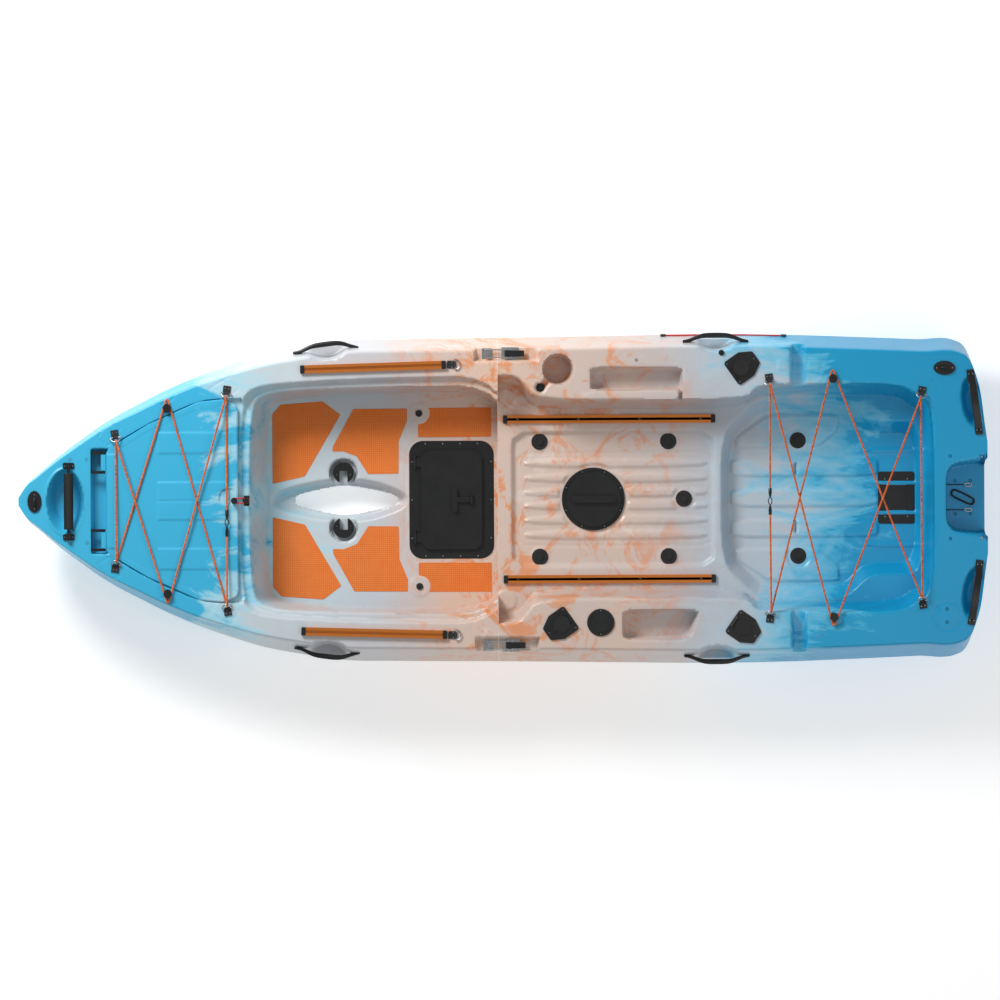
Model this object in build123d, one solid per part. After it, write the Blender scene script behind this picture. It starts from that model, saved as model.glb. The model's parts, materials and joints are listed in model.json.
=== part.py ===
from build123d import *
from math import atan2, cos, degrees, hypot, radians, sin, tan
import os

# Modular sit-on-top pedal fishing kayak: a bow section and a stern section held together by
# two draw latches, with hatches, rod holders, gear rails, carry handles and bungee lashing.
#
# Frame: millimetres, +Z up, origin on the ground under the middle of the hull, bow towards -X,
# starboard towards +Y.

# ---- driving dimensions ----------------------------------------------------
LENGTH = 3048.0            # overall length
BEAM = 1046.0              # overall beam
GUNWALE_Z = 300.0          # height of the gunwale amidships
SHEER_ANGLE = 4.0          # rise of the foredeck towards the bow, degrees
SHEER_X = -693.0           # where the foredeck starts to rise
WALL = 6.0                 # thickness of the moulded polyethylene skin
SEAM_X = -19.0             # joint between the two sections
SEAM_GAP = 0.6             # gap between the two faces of the joint
FLOOR_Z = 95.0             # footwell floor
LEDGE_Z = 275.0            # ledge round the top of the footwell
SEAT_Z = 165.0             # seat deck and rail ledge
PAN_DEPTH = 12.0           # seat pan below the seat deck
TANK_Z = 110.0             # tank well floor
NOTCH_Z = 190.0            # floor of the rudder notch
BIN_Z = 170.0              # floor of the bow bin
LID_RECESS = 18.0          # depth of the bow lid's seat
LID_CROWN = 1.0            # bow lid stands this much above the foredeck
LID_GAP = 4.0              # gap round the bow lid
GASKET_T = 2.0             # bow lid gasket
CORD_R = 3.0               # bungee radius
RING_WIRE_R = 1.8          # D-ring wire radius
RING_R = 16.0              # D-ring bow radius
RING_TILT = 35.0           # D-rings are drawn up by the bungee, degrees
SCREW_R = 2.0              # deck screws
SCREW_HEAD_R = 4.2
SCREW_HEAD_H = 2.2
SCREW_CLEAR = 0.2          # clearance round a screw's shank
SLACK = 0.3                # gap left between seated pieces
RUN_CLEAR = 0.1            # radial clearance of a hinge pin
SCUPPER_R = 19.0           # scupper tube bore
PLUG_HEAD_R = 26.0
HATCH_L, HATCH_W = 270.0, 376.0      # floor hatch frame, fore-aft and across
HATCH_RIM = 46.0                     # width of the floor hatch frame's flange
ROUND_R = 100.0            # round hatch frame's outer radius
ROUND_BORE = 76.0          # round hatch opening
PLATE_R = 43.0             # deck plate's outer radius
PLATE_BORE = 27.0
ROD_R = 22.0               # rod holder bore
ROD_TUBE = 190.0           # rod holder depth
ROD_WALL = 3.0
RAIL_W, RAIL_H = 26.0, 11.0
INSERT_BORE = 3.0          # threaded inserts
INSERT_R = 5.0
INSERT_L = 10.0
INSERT_CLEAR = 0.1
RIB_H = 6.0                # ribs of the seat pan and the tank well
PAN_RIBS = (-172, -125, -80, -33, 33, 80, 125, 172)
TANK_RIBS = ((-125, -79), (-37, 37), (79, 125))
PAD_T = 4.0                # foam deck pads

SX, SY = LENGTH / 3048.0, BEAM / 1046.0      # plan places stretch with the hull
OUT = "parts"


def P(x, y):
    """A plan place, stretched with the hull's length and beam."""
    return x * SX, y * SY


def both(points):
    """An outline's starboard half, bow to stern, closed by its mirror image."""
    return points + [(x, -y) for x, y in reversed(points)]


# ---- foredeck plane ----------------------------------------------------------
TILT = radians(SHEER_ANGLE)
SHEER = SHEER_X * SX


def deck_z(x):
    return GUNWALE_Z + max(0.0, SHEER - x) * tan(TILT)


FOREDECK = Location((SHEER, 0, GUNWALE_Z)) * Rotation(0, SHEER_ANGLE, 0) * Location((-SHEER, 0, 0))


def on_deck(x, y, spin=0.0, lift=0.0):
    """Location on the deck at plan place x, y, standing square to the deck there."""
    if x < SHEER:
        return FOREDECK * Location((x, y, lift)) * Rotation(0, 0, spin)
    return at(x, y, GUNWALE_Z + lift, spin)


def at(x, y, z, spin=0.0):
    return Location((x, y, z)) * Rotation(0, 0, spin)


# ---- small makers ---------------------------------------------------------------
def cyl(r, z0, z1):
    return Location((0, 0, (z0 + z1) / 2)) * Cylinder(r, z1 - z0)


def ring(r_out, r_in, z0, z1):
    return cyl(r_out, z0, z1) - cyl(r_in, z0 - 1, z1 + 1)


def block(x0, x1, y0, y1, z0, z1):
    return Location(((x0 + x1) / 2, (y0 + y1) / 2, (z0 + z1) / 2)) * Box(x1 - x0, y1 - y0, z1 - z0)


def outline(points, radius, grow=0.0, z=0.0):
    """A face at height z: the polygon with rounded corners, grown outwards."""
    face = make_face(Polyline(*points, close=True))
    if radius:
        face = fillet(face.vertices(), radius)
    if grow:
        face = offset(face, amount=grow)
    return Location((0, 0, z)) * face


def prism(points, radius, z0, z1, grow=0.0):
    return extrude(outline(points, radius, grow, z0), amount=z1 - z0)


def tub(top, z_top, floor, z_floor, radius, grow=0.0, above=160.0):
    """A pocket with sloping sides between two outlines, carried straight up above its mouth."""
    low = outline(floor, radius, grow, z_floor - grow)
    high = outline(top, radius, grow, z_top)
    return loft([low, high], ruled=True) + extrude(high, amount=above)


def oval(rx, ry, z0, z1):
    return extrude(Location((0, 0, z0)) * Ellipse(rx, ry), amount=z1 - z0)


def group(solids):
    """Separate solids written as one node."""
    flat = []
    for s in solids:
        flat += list(s.solids()) if hasattr(s, "solids") else [s]
    return Compound(children=flat)


def tube_path(points, radii, r):
    """A round tube along straight runs joined by tangent arcs."""
    path = FilletPolyline(*points, radius=radii)
    start = path @ 0
    section = Plane(origin=start, z_dir=path % 0) * Circle(r)
    return sweep(section, path=path)


NODES = {}


def keep(name, shape):
    NODES[name] = shape


# ---- places of the fittings -----------------------------------------------------
BOW_EYE = P(-1476, 0)
BOW_WELL = P(-1378, 0)
BOW_WELL_R = (58.0, 102.0)
BOW_HOLES = [P(-1364, 131), P(-1364, -131), P(-1312, 131), P(-1312, -131)]
LID = [P(-1251, 161), P(-1119, 241), P(-961, 312), P(-885, 320), P(-837, 300)]
LID_CORNER = 18.0
BIN_INSET = 30.0
TROUGH_X0, TROUGH_X1 = -1299 * SX, -1251 * SX
TROUGH_HALF = 166.0 * SY
TROUGH_DEPTH = 45.0
HINGE_X = TROUGH_X1 - 10.0
HINGE_W = -6.0                      # hinge axis below the foredeck
HINGE_Y = 122.0 * SY
HINGE_LEN = 50.0
BOW_LASHING = {"rear": P(-873, 338), "front": P(-1222, 200), "guide": P(-1060, 292), "hook": P(-873, -70)}
STERN_LASHING = {"rear": P(838, 368), "front": P(1316, 326), "guide": P(1038, 376), "hook": P(838, -10)}
LATCH_KNOB = P(-850, 0)
CATCH = P(-812, 0)
LUG_W = RING_WIRE_R + 3.4          # height of a D-ring's bar above its tab's foot
WELL_TOP = [P(-834, 305), P(-777, 366), P(-450, 384), (SEAM_X + 60, 392 * SY)]
WELL_LEDGE = [P(-803, 298), P(-745, 346), P(-450, 357), (SEAM_X + 60, 363 * SY)]
WELL_FLOOR = [P(-752, 282), P(-714, 320), P(-450, 340), (SEAM_X + 60, 347 * SY)]
DRIVE_SLOT = [P(-668, 17), P(-562, 42), P(-509, 48), P(-455, 42), P(-338, 16)]
DRIVE_LIP = [P(-735, 24), P(-570, 62), P(-435, 62), P(-315, 20)]
DRIVE_LIP_DEPTH = 34.0
SADDLE = P(-512, 88)
SADDLE_R = 36.0
SADDLE_DEPTH = 26.0
HATCH = P(-167, 0)
DECK_TOP = [(SEAM_X - 60, 392 * SY), P(45, 392), P(103, 314), P(757, 314), P(812, 360), P(1251, 360), P(1357, 292)]
DECK_FLOOR = [(SEAM_X - 60, 363 * SY), P(40, 363), P(98, 285), P(745, 285), P(800, 330), P(1240, 330), P(1336, 267)]
TANK_TOP = [P(692, 205), P(812, 318), P(1082, 318), P(1166, 240), P(1330, 240)]
TANK_FLOOR = [P(717, 171), P(828, 282), P(1072, 282), P(1150, 206), P(1312, 206)]
PAN = [P(24, 216), P(670, 216)]
CUP = P(171, 410)
CUP_R = 47.0
CUP_DEPTH = 95.0
CUP_DRAIN = P(116, 352)
CUP_DRAIN_R = 15.0
TRAY_STARBOARD = [P(272, 340), P(272, 417), P(566, 417), P(566, 340)]
TRAY_PORT = [P(370, -347), P(370, -447), P(583, -447), P(619, -347)]
TRAY_DEPTH = 62.0
ROUND_HATCH = P(284, 0)
DECK_PLATE = P(303, -389)
ROD_HOLDERS = {"front_port": (P(180, -393), 215.0), "rear_starboard": (P(749, 412), 35.0), "rear_port": (P(749, -406), -35.0)}
SIDE_HANDLES = {"front_starboard": (-561, 1), "front_port": (-561, -1), "rear_starboard": (671, 1), "rear_port": (671, -1)}
HANDLE_HALF = 98.0
HANDLE_WELL = (74.0, 62.0)
HANDLE_WELL_Z = 190.0
HANDLE_Z = 238.0
LATCH_Y = 460.0 * SY
LATCH_POCKET_Z = GUNWALE_Z - 27.0
TROUGH_CROSS_X = 929.0 * SX
TROUGH_CROSS_HALF = 25.0
TROUGH_CROSS_Z = 264.0
NOTCH = [P(1392, 79), P(1419, 110), (1600 * SX, 134 * SY)]
NOTCH_HOLES = [P(1406, 130), P(1406, -130), P(1504, 130), P(1504, -130)]
NOTCH_FLOOR_HOLES = [P(1431, 52), P(1431, -52), P(1479, 52), P(1479, -52)]
RING_MARK_HOLES = [P(1394, -352), P(1394, -393)]
CROSS_PAD_HOLES = [P(888, 421), P(888, -421), P(970, 421), P(970, -421)]
SEAT_BOLT_HOLES = [P(8, 320), P(8, -320)]
TRAY_PAD_HOLE = [P(419, 437)]
STERN_HANDLE = (1484.0 * SX, 300.0 * SY)
STERN_HANDLE_LEAN = 8.0
STERN_HANDLE_HALF = 97.0
STERN_EYE = P(1389, 408)
COVER = P(1250, 0)
COVER_L, COVER_W = 116.0, 166.0
SCUPPERS_FLOOR = [P(-270, 276), P(-270, -276)]
SCUPPERS_SEAT = [P(114, 183), P(114, -183), P(523, 183), P(523, -183), P(572, 0)]
SCUPPERS_TANK = [P(937, 184), P(937, -184)]
PADDLE_KEEPER_X = (518.0 * SX, 882.0 * SX)
PADDLE_KEEPER_Z = 150.0
DECK_BUTTON = P(687, 459)
FRONT_RAIL = (P(-640, 412), P(-181, 425))
SEAT_RAIL = (P(-2, 254), P(672, 254))
RAIL_RING = P(-153, 426)


# ---- hull skins ------------------------------------------------------------------
# x, half breadth, keel height, height of the widest line, inward lean of the topside
STATIONS = [
    (-1524, 20, 235, 290, 5),
    (-1504, 54, 190, 280, 10),
    (-1460, 95, 140, 265, 14),
    (-1340, 193, 75, 235, 20),
    (-1150, 311, 30, 200, 28),
    (-961, 400, 8, 175, 34),
    (-770, 463, 0, 155, 40),
    (-518, 507, 0, 140, 43),
    (-13, 515, 0, 130, 44),
    (700, 523, 0, 130, 44),
    (1125, 512, 6, 130, 44),
    (1544, 492, 30, 135, 44),
]
FLAT_SHARE = 0.60          # half width of the flat bottom over the half breadth
CHINE_SHARE = 0.88         # half width of the bilge over the half breadth
CHINE_RISE = 0.30          # height of the bilge between keel and widest line
LOFT_TOP = 420.0           # the skins are built up to here, then cut to the deck


def section(station, inset):
    x, half, keel, wide, lean = station
    half = half * SY - inset
    top = half - lean * (LOFT_TOP - wide) / (GUNWALE_Z - wide) if wide < 250 else half - lean
    low = keel + inset
    bilge = low + CHINE_RISE * (wide - low)
    right = [(FLAT_SHARE * half, low), (CHINE_SHARE * half, bilge), (half, wide), (top, LOFT_TOP)]
    points = right + [(-y, z) for y, z in reversed(right)]
    return Plane.YZ.offset(x * SX) * make_face(Polyline(*points, close=True))


def skin(inset):
    """The hull's outside, or with an inset the hollow inside it."""
    stations = STATIONS
    if inset > 0:
        first = (-1490, 70, 178, 276, 12)
        stations = [first] + STATIONS[2:]
    body = loft([section(s, inset) for s in stations], ruled=True)
    keel_side = [(-1800, -50), (1800, -50), (1800, GUNWALE_Z - inset), (SHEER, GUNWALE_Z - inset)]
    side = keel_side + [(-1800, GUNWALE_Z - inset + (1800 + SHEER) * tan(TILT))]
    under_deck = extrude(Plane.XZ * make_face(Polyline(*side, close=True)), amount=800, both=True)
    stern = [P(-1900, 700), P(1441, 700), (1455 * SX - inset, 498 * SY), (1498 * SX - inset, 405 * SY),
             (1524 * SX - inset, 222 * SY)]
    plan = extrude(outline(both(stern), 0, 0, -60), amount=700)
    return body & under_deck & plan


def foredeck(shape):
    """Moves a shape drawn in plan at height 0 onto the sloping foredeck."""
    return FOREDECK * shape


def bow_pockets(grow):
    cuts = []
    rx, ry = BOW_WELL_R
    low = Location((0, 0, -70 - grow)) * Ellipse(rx * 0.6 + grow, ry * 0.8 + grow)
    high = Ellipse(rx + grow, ry + grow)
    cuts.append(on_deck(*BOW_WELL) * (loft([low, high], ruled=True) + extrude(high, amount=60)))
    seat = LID[:-1] + [(LID[-1][0] + 40, LID[-2][1])]
    cuts.append(foredeck(prism(both(seat), LID_CORNER, -LID_RECESS - grow, 60, LID_GAP + grow)))
    bin_floor_w = BIN_Z - deck_z(LID[0][0])
    cuts.append(foredeck(prism(both(LID), LID_CORNER + BIN_INSET, bin_floor_w - grow, 0, grow - BIN_INSET)))
    trough = block(TROUGH_X0 - grow, TROUGH_X1 + 8, -TROUGH_HALF - grow, TROUGH_HALF + grow, -TROUGH_DEPTH - grow, 60)
    cuts.append(foredeck(trough))
    upper_floor = [(x + 8, y - 8) for x, y in WELL_TOP]
    cuts.append(tub(both(WELL_TOP), GUNWALE_Z, both(upper_floor), LEDGE_Z, 20, grow))
    cuts.append(tub(both(WELL_LEDGE), LEDGE_Z, both(WELL_FLOOR), FLOOR_Z, 20, grow))
    lip_floor = [(x * 0.985 - 8, max(y - 10, 6)) for x, y in DRIVE_LIP]
    cuts.append(tub(both(DRIVE_LIP), FLOOR_Z, both(lip_floor), FLOOR_Z - DRIVE_LIP_DEPTH, 4, grow, above=10))
    for side in (1, -1):
        spot = at(SADDLE[0], side * SADDLE[1], 0)
        cuts.append(spot * cyl(SADDLE_R + grow, FLOOR_Z - SADDLE_DEPTH - grow, FLOOR_Z + 5))
    return cuts + side_pockets(grow, ("front_starboard", "front_port"))


def side_pockets(grow, names):
    cuts = []
    for name in names:
        x, side = SIDE_HANDLES[name]
        well = oval(HANDLE_WELL[0] + grow, HANDLE_WELL[1] + grow, HANDLE_WELL_Z - grow, 420)
        cuts.append(at(x * SX, side * hull_half(x), 0) * well)
    for side in (1, -1):
        y0, y1 = sorted((side * (LATCH_Y - 26 - grow), side * (LATCH_Y + 30 + grow)))
        x0, x1 = SEAM_X - 75 - grow, SEAM_X + 130 + grow
        cuts.append(block(x0, x1, y0, y1, LATCH_POCKET_Z - grow, 420))
    return cuts


def station_at(x):
    """Half breadth, widest line's height and topside lean at x."""
    for (x0, h0, _, w0, l0), (x1, h1, _, w1, l1) in zip(STATIONS, STATIONS[1:]):
        if x0 <= x <= x1:
            t = (x - x0) / (x1 - x0)
            return (h0 + (h1 - h0) * t) * SY, w0 + (w1 - w0) * t, l0 + (l1 - l0) * t
    raise ValueError(f"no station round x = {x}")


def hull_half(x):
    """Half breadth at the widest line."""
    return station_at(x)[0]


def side_y(x, z):
    """How far out the topside is at x and height z."""
    half, wide, lean = station_at(x)
    return half - (z - wide) * lean / (GUNWALE_Z - wide)


def stern_pockets(grow):
    cuts = [tub(both(DECK_TOP), GUNWALE_Z, both(DECK_FLOOR), SEAT_Z, 16, grow),
            tub(both(TANK_TOP), SEAT_Z, both(TANK_FLOOR), TANK_Z, 14, grow, above=20),
            prism(both(PAN), 20, SEAT_Z - PAN_DEPTH - grow, SEAT_Z + 5, grow)]
    cuts.append(at(*CUP, 0) * cyl(CUP_R + grow, GUNWALE_Z - CUP_DEPTH - grow, 400))
    dx, dy = CUP_DRAIN[0] - CUP[0], CUP_DRAIN[1] - CUP[1]
    gutter = block(0, hypot(dx, dy), -10 - grow, 10 + grow, GUNWALE_Z - 22 - grow, 400)
    cuts.append(at(*CUP, 0, degrees(atan2(dy, dx))) * gutter)
    cuts.append(prism(TRAY_STARBOARD, 12, GUNWALE_Z - TRAY_DEPTH - grow, 400, grow))
    cuts.append(prism(TRAY_PORT, 12, GUNWALE_Z - TRAY_DEPTH - grow, 400, grow))
    cuts.append(prism(both(NOTCH), 10, NOTCH_Z - grow, 400, grow))
    for side in (1, -1):
        y0, y1 = sorted((side * (366 * SY - 40), side * 600 * SY))
        cross = block(TROUGH_CROSS_X - TROUGH_CROSS_HALF - grow, TROUGH_CROSS_X + TROUGH_CROSS_HALF + grow,
                      y0, y1, TROUGH_CROSS_Z - grow, 400)
        cuts.append(cross)
        x, y = STERN_HANDLE
        spot = at(x - 8, side * y, 0, side * STERN_HANDLE_LEAN)
        cuts.append(spot * oval(30 + grow, 78 + grow, GUNWALE_Z - 52 - grow, 400))
    return cuts + side_pockets(grow, ("rear_starboard", "rear_port"))


def deck_openings(section_name):
    """Holes through the skin: hatches, scuppers, drive slot, rod holders."""
    holes = []
    if section_name == "bow":
        holes.append(prism([(x, y) for x, y in both(DRIVE_SLOT)], 4, -80, FLOOR_Z + 5))
        inner = [(HATCH[0] + a * (HATCH_L / 2 - HATCH_RIM), b * (HATCH_W / 2 - HATCH_RIM))
                 for a, b in ((-1, -1), (1, -1), (1, 1), (-1, 1))]
        holes.append(prism(inner, 22, FLOOR_Z - WALL - 4, FLOOR_Z + 20))
    else:
        holes.append(at(*ROUND_HATCH, 0) * cyl(ROUND_BORE + 4, SEAT_Z - PAN_DEPTH - WALL - 4, SEAT_Z + 20))
        holes.append(at(*DECK_PLATE, 0) * cyl(PLATE_BORE + 4, GUNWALE_Z - WALL - 4, GUNWALE_Z + 20))
        holes.append(at(*CUP_DRAIN, 0) * cyl(CUP_DRAIN_R, GUNWALE_Z - 22 - WALL - 30, GUNWALE_Z + 20))
        for (x, y), _ in ROD_HOLDERS.values():
            holes.append(at(x, y, 0) * cyl(ROD_R + ROD_WALL + SLACK, GUNWALE_Z - WALL - 4, GUNWALE_Z + 20))
    return holes


def scupper_places():
    """x, y and floor height of each scupper."""
    pan = SEAT_Z - PAN_DEPTH
    return ([(x, y, FLOOR_Z) for x, y in SCUPPERS_FLOOR] + [(x, y, pan) for x, y in SCUPPERS_SEAT]
            + [(x, y, TANK_Z) for x, y in SCUPPERS_TANK])


def scupper_hole(x, y, z, grow=0.0):
    return at(x, y, 0) * cyl(SCUPPER_R + grow, -20, z + 5)


def hull(section_name):
    """One moulded section: a hollow skin with its pockets, tubes and closed joint face."""
    bow = section_name == "bow"
    pockets = bow_pockets if bow else stern_pockets
    if bow:
        x0, x1 = -1700 * SX, SEAM_X - SEAM_GAP / 2
        room = block(x0, x1 - WALL, -700, 700, -50, 500)
    else:
        x0, x1 = SEAM_X + SEAM_GAP / 2, 1700 * SX
        room = block(x0 + WALL, x1, -700, 700, -50, 500)
    half = block(x0, x1, -700, 700, -50, 500)
    outside = skin(0) & half
    inside = skin(WALL) & room
    for p in pockets(WALL):
        inside -= p
    for x, y, z in scupper_places():
        if x0 < x < x1:
            inside -= scupper_hole(x, y, z, WALL)
    if bow:
        inside -= prism(both(DRIVE_SLOT), 4, -80, FLOOR_Z, WALL)
    body = outside - inside
    for p in pockets(0.0):
        body -= p
    for x, y, z in scupper_places():
        if x0 < x < x1:
            body -= scupper_hole(x, y, z)
    for p in deck_openings(section_name):
        body -= p
    if not bow:
        body += ribs()
    return (body - group(insert_holes(x0, x1))).solids()[0]


def ribs():
    """Raised ribs on the seat pan and the tank well floor, stopping short of the fittings."""
    pan, low = SEAT_Z - PAN_DEPTH, WALL / 2
    bars = [block(60 * SX, 650 * SX, y * SY - 4, y * SY + 4, pan - low, pan + RIB_H) for y in PAN_RIBS]
    bars += [block(735 * SX, 1180 * SX, a * SY, b * SY, TANK_Z - low, TANK_Z + RIB_H) for a, b in TANK_RIBS]
    clear = [at(*ROUND_HATCH, 0) * cyl(ROUND_R + 6, 0, 200)]
    clear += [at(x, y, 0) * cyl(PLUG_HEAD_R + 5, 0, 200) for x, y in SCUPPERS_SEAT]
    clear += [at(x, y, 0) * cyl(PLUG_HEAD_R + 5, 0, 200) for x, y in SCUPPERS_TANK]
    return group(bars) - clear


def insert_places():
    """Locations of the threaded inserts, each with its open end flush with the skin."""
    spots = [on_deck(x, y) for x, y in BOW_HOLES]
    for places, z in ((NOTCH_HOLES, GUNWALE_Z), (NOTCH_FLOOR_HOLES, NOTCH_Z), (RING_MARK_HOLES, GUNWALE_Z),
                      (CROSS_PAD_HOLES, GUNWALE_Z), (SEAT_BOLT_HOLES, SEAT_Z), (TRAY_PAD_HOLE, GUNWALE_Z)):
        spots += [at(x, y, z) for x, y in places]
    return spots


def insert_holes(x0, x1):
    """Seats of the threaded inserts between two stations, through the skin."""
    seats = [spot * cyl(INSERT_R + INSERT_CLEAR, -INSERT_L - 4, 5) for spot in insert_places()]
    return [seat for seat in seats if x0 < seat.center().X < x1]


# ---- makers of fittings ---------------------------------------------------------------
SCREWS = {}


def fasten(body, plate, places, thick, location):
    """Drills a plate drawn at the origin, puts it in place and files its screws under a body."""
    for x, y in places:
        plate -= Location((x, y, 0)) * cyl(SCREW_R + SCREW_CLEAR, -1, thick + 1)
        screw = cyl(SCREW_HEAD_R, thick, thick + SCREW_HEAD_H) + cyl(SCREW_R, 0, thick)
        SCREWS.setdefault(body, []).append(location * Location((x, y, 0)) * screw)
    return location * plate


def rounded_plate(length, width, corner, z0, z1):
    return extrude(Location((0, 0, z0)) * RectangleRounded(length, width, corner), amount=z1 - z0)


def strap_handle(half, width, rise, thick):
    """A carry strap bridging a finger well: two pads and a raised grip, in one piece."""
    pad, ramp = 26.0, 24.0
    under = [(-half, 0), (-half + pad, 0), (-half + pad + ramp, rise - thick), (half - pad - ramp, rise - thick),
             (half - pad, 0), (half, 0)]
    over = [(half, thick), (half - pad, thick), (half - pad - ramp, rise), (-half + pad + ramp, rise),
            (-half + pad, thick), (-half, thick)]
    side = Plane.XZ * make_face(Polyline(*under, *over, close=True))
    return extrude(side, amount=width / 2, both=True)


def eye_plate(length, width):
    """An oval plate carrying a standing loop across its middle."""
    plate = extrude(Ellipse(length / 2, width / 2), amount=4)
    loop = tube_path([(0, -11, 2), (0, -11, 18), (0, 11, 18), (0, 11, 2)], 9, 3)
    return plate + loop


def ring_tab():
    """A tab whose lug holds the straight bar of a D-ring, lying along Y over the origin."""
    body = block(-24, 1, -12, 12, 0, 3) + turned(0, 0, LUG_W, 3.2, 9)
    body += block(-3.2, 3.2, -9, 9, 1, LUG_W)
    return body - turned(0, 0, LUG_W, RING_WIRE_R + RUN_CLEAR, 10)


def d_ring():
    """A D-ring with its bar along Y through the origin and its bow towards +X."""
    bar = Rotation(90, 0, 0) * cyl(RING_WIRE_R, -RING_R, RING_R)
    arc = ThreePointArc((0, -RING_R, 0), (RING_R, 0, 0), (0, RING_R, 0))
    bow = sweep(Plane(origin=arc @ 0, z_dir=arc % 0) * Circle(RING_WIRE_R), path=arc)
    ends = [Location((0, y, 0)) * Sphere(RING_WIRE_R) for y in (-RING_R, RING_R)]
    return (bar + bow + ends[0] + ends[1]).solids()[0]


def guide():
    """A button the bungee turns round: foot, stem and cap."""
    return cyl(14, 0, 3) + cyl(GUIDE_STEM_R, 0, 14) + cyl(13, 12.5, 16)


def knob_post(foot_r, stem_r, height):
    return cyl(foot_r, 0, 3) + cyl(stem_r, 0, height) + cyl(stem_r + 5, height - 4, height)


def stadium(length, r_path, r_tube):
    """A closed loop of round cord: two straight runs and two half turns, in the XY plane."""
    half = length / 2
    runs = [Location((0, y, 0)) * Rotation(0, 90, 0) * cyl(r_tube, -half, half) for y in (-r_path, r_path)]
    turns = []
    for side in (1, -1):
        arc = ThreePointArc((side * half, -r_path, 0), (side * (half + r_path), 0, 0), (side * half, r_path, 0))
        turns.append(sweep(Plane(origin=arc @ 0, z_dir=arc % 0) * Circle(r_tube), path=arc))
    return (runs[0] + runs[1] + turns[0] + turns[1]).solids()[0]


def rail(length):
    """Gear track: an extruded bar with a T-shaped slot along its top."""
    half = length / 2
    bar = block(-half, half, -RAIL_W / 2, RAIL_W / 2, 0, RAIL_H)
    bar -= block(-half - 1, half + 1, -4, 4, 4, RAIL_H + 1)
    return bar - block(-half - 1, half + 1, -8, 8, 3, RAIL_H - 3)


# ---- lashing: rings, guides, hook and one bungee ---------------------------------------
GUIDE_STEM_R = 7.0
LOW_W, HIGH_W, TURN_W, HOOK_W = 4.8, 21.0, 7.5, 9.0
BEND_R = 6.5               # bungee's bend where it passes through a ring


def heading(a, b):
    d = hypot(b[0] - a[0], b[1] - a[1])
    return (b[0] - a[0]) / d, (b[1] - a[1]) / d


def pull(ring_place, first, second):
    """Direction in which two strands draw a ring."""
    a, b = heading(ring_place, first), heading(ring_place, second)
    d = hypot(a[0] + b[0], a[1] + b[1])
    return (a[0] + b[0]) / d, (a[1] + b[1]) / d


def lashing_places(spot):
    """Ring places, each with the two things its strands run to, and guide places."""
    (rx, ry), (fx, fy), (gx, gy), (hx, hy) = spot["rear"], spot["front"], spot["guide"], spot["hook"]
    rings, turns = [], []
    for side in (1, -1):
        rings.append(((rx, side * ry), (hx, hy), (gx, -side * gy)))
        rings.append(((fx, side * fy), (fx, -side * fy), (gx, -side * gy)))
        turns.append((gx, -side * gy))
    return rings, turns


def through_ring(place, first, second, heights):
    """The cord's two corner points where it drops or climbs through a ring."""
    dx, dy = pull(place, first, second)
    reach = RING_R * cos(radians(RING_TILT)) - RING_WIRE_R - CORD_R - SLACK
    x, y = place[0] + dx * reach, place[1] + dy * reach
    return [(x, y, heights[0]), (x, y, heights[1])]


def round_guide(place, first, second):
    """The cord's corner point that puts its bend concentric with a guide's stem."""
    turn = GUIDE_STEM_R + CORD_R + SLACK
    corner = place
    for _ in range(8):
        a, b = heading(corner, first), heading(corner, second)
        dx, dy = pull(corner, first, second)
        half = 0.5 * abs(atan2(a[0] * b[1] - a[1] * b[0], a[0] * b[0] + a[1] * b[1]))
        back = turn / sin(half)
        corner = (place[0] - dx * back, place[1] - dy * back)
    return (*corner, TURN_W), turn


def lashing_route(spot):
    """Corner points and bend radii of the one bungee, from hook end to hook end."""
    rings, turns = lashing_places(spot)
    rear_s, front_s, rear_p, front_p = rings
    guide_p, guide_s = turns
    hx, hy = spot["hook"]
    points, bends = [(hx, hy + HOOK_HALF - 6, HOOK_W)], []

    def ring_turn(ring, heights):
        points.extend(through_ring(*ring, heights))
        bends.extend([BEND_R, BEND_R])

    def guide_turn(guide_place, ring_a, ring_b):
        a, b = through_ring(*ring_a, (0, 0))[0][:2], through_ring(*ring_b, (0, 0))[0][:2]
        corner, r = round_guide(guide_place, a, b)
        points.append(corner)
        bends.append(r)

    ring_turn(rear_s, (LOW_W, HIGH_W))
    guide_turn(guide_p, rear_s, front_s)
    ring_turn(front_s, (HIGH_W, LOW_W))
    ring_turn(front_p, (HIGH_W, LOW_W))
    guide_turn(guide_s, front_p, rear_p)
    ring_turn(rear_p, (LOW_W, HIGH_W))
    points.append((hx, hy - HOOK_HALF + 6, HOOK_W))
    return points, bends


HOOK_HALF = 42.0


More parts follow.
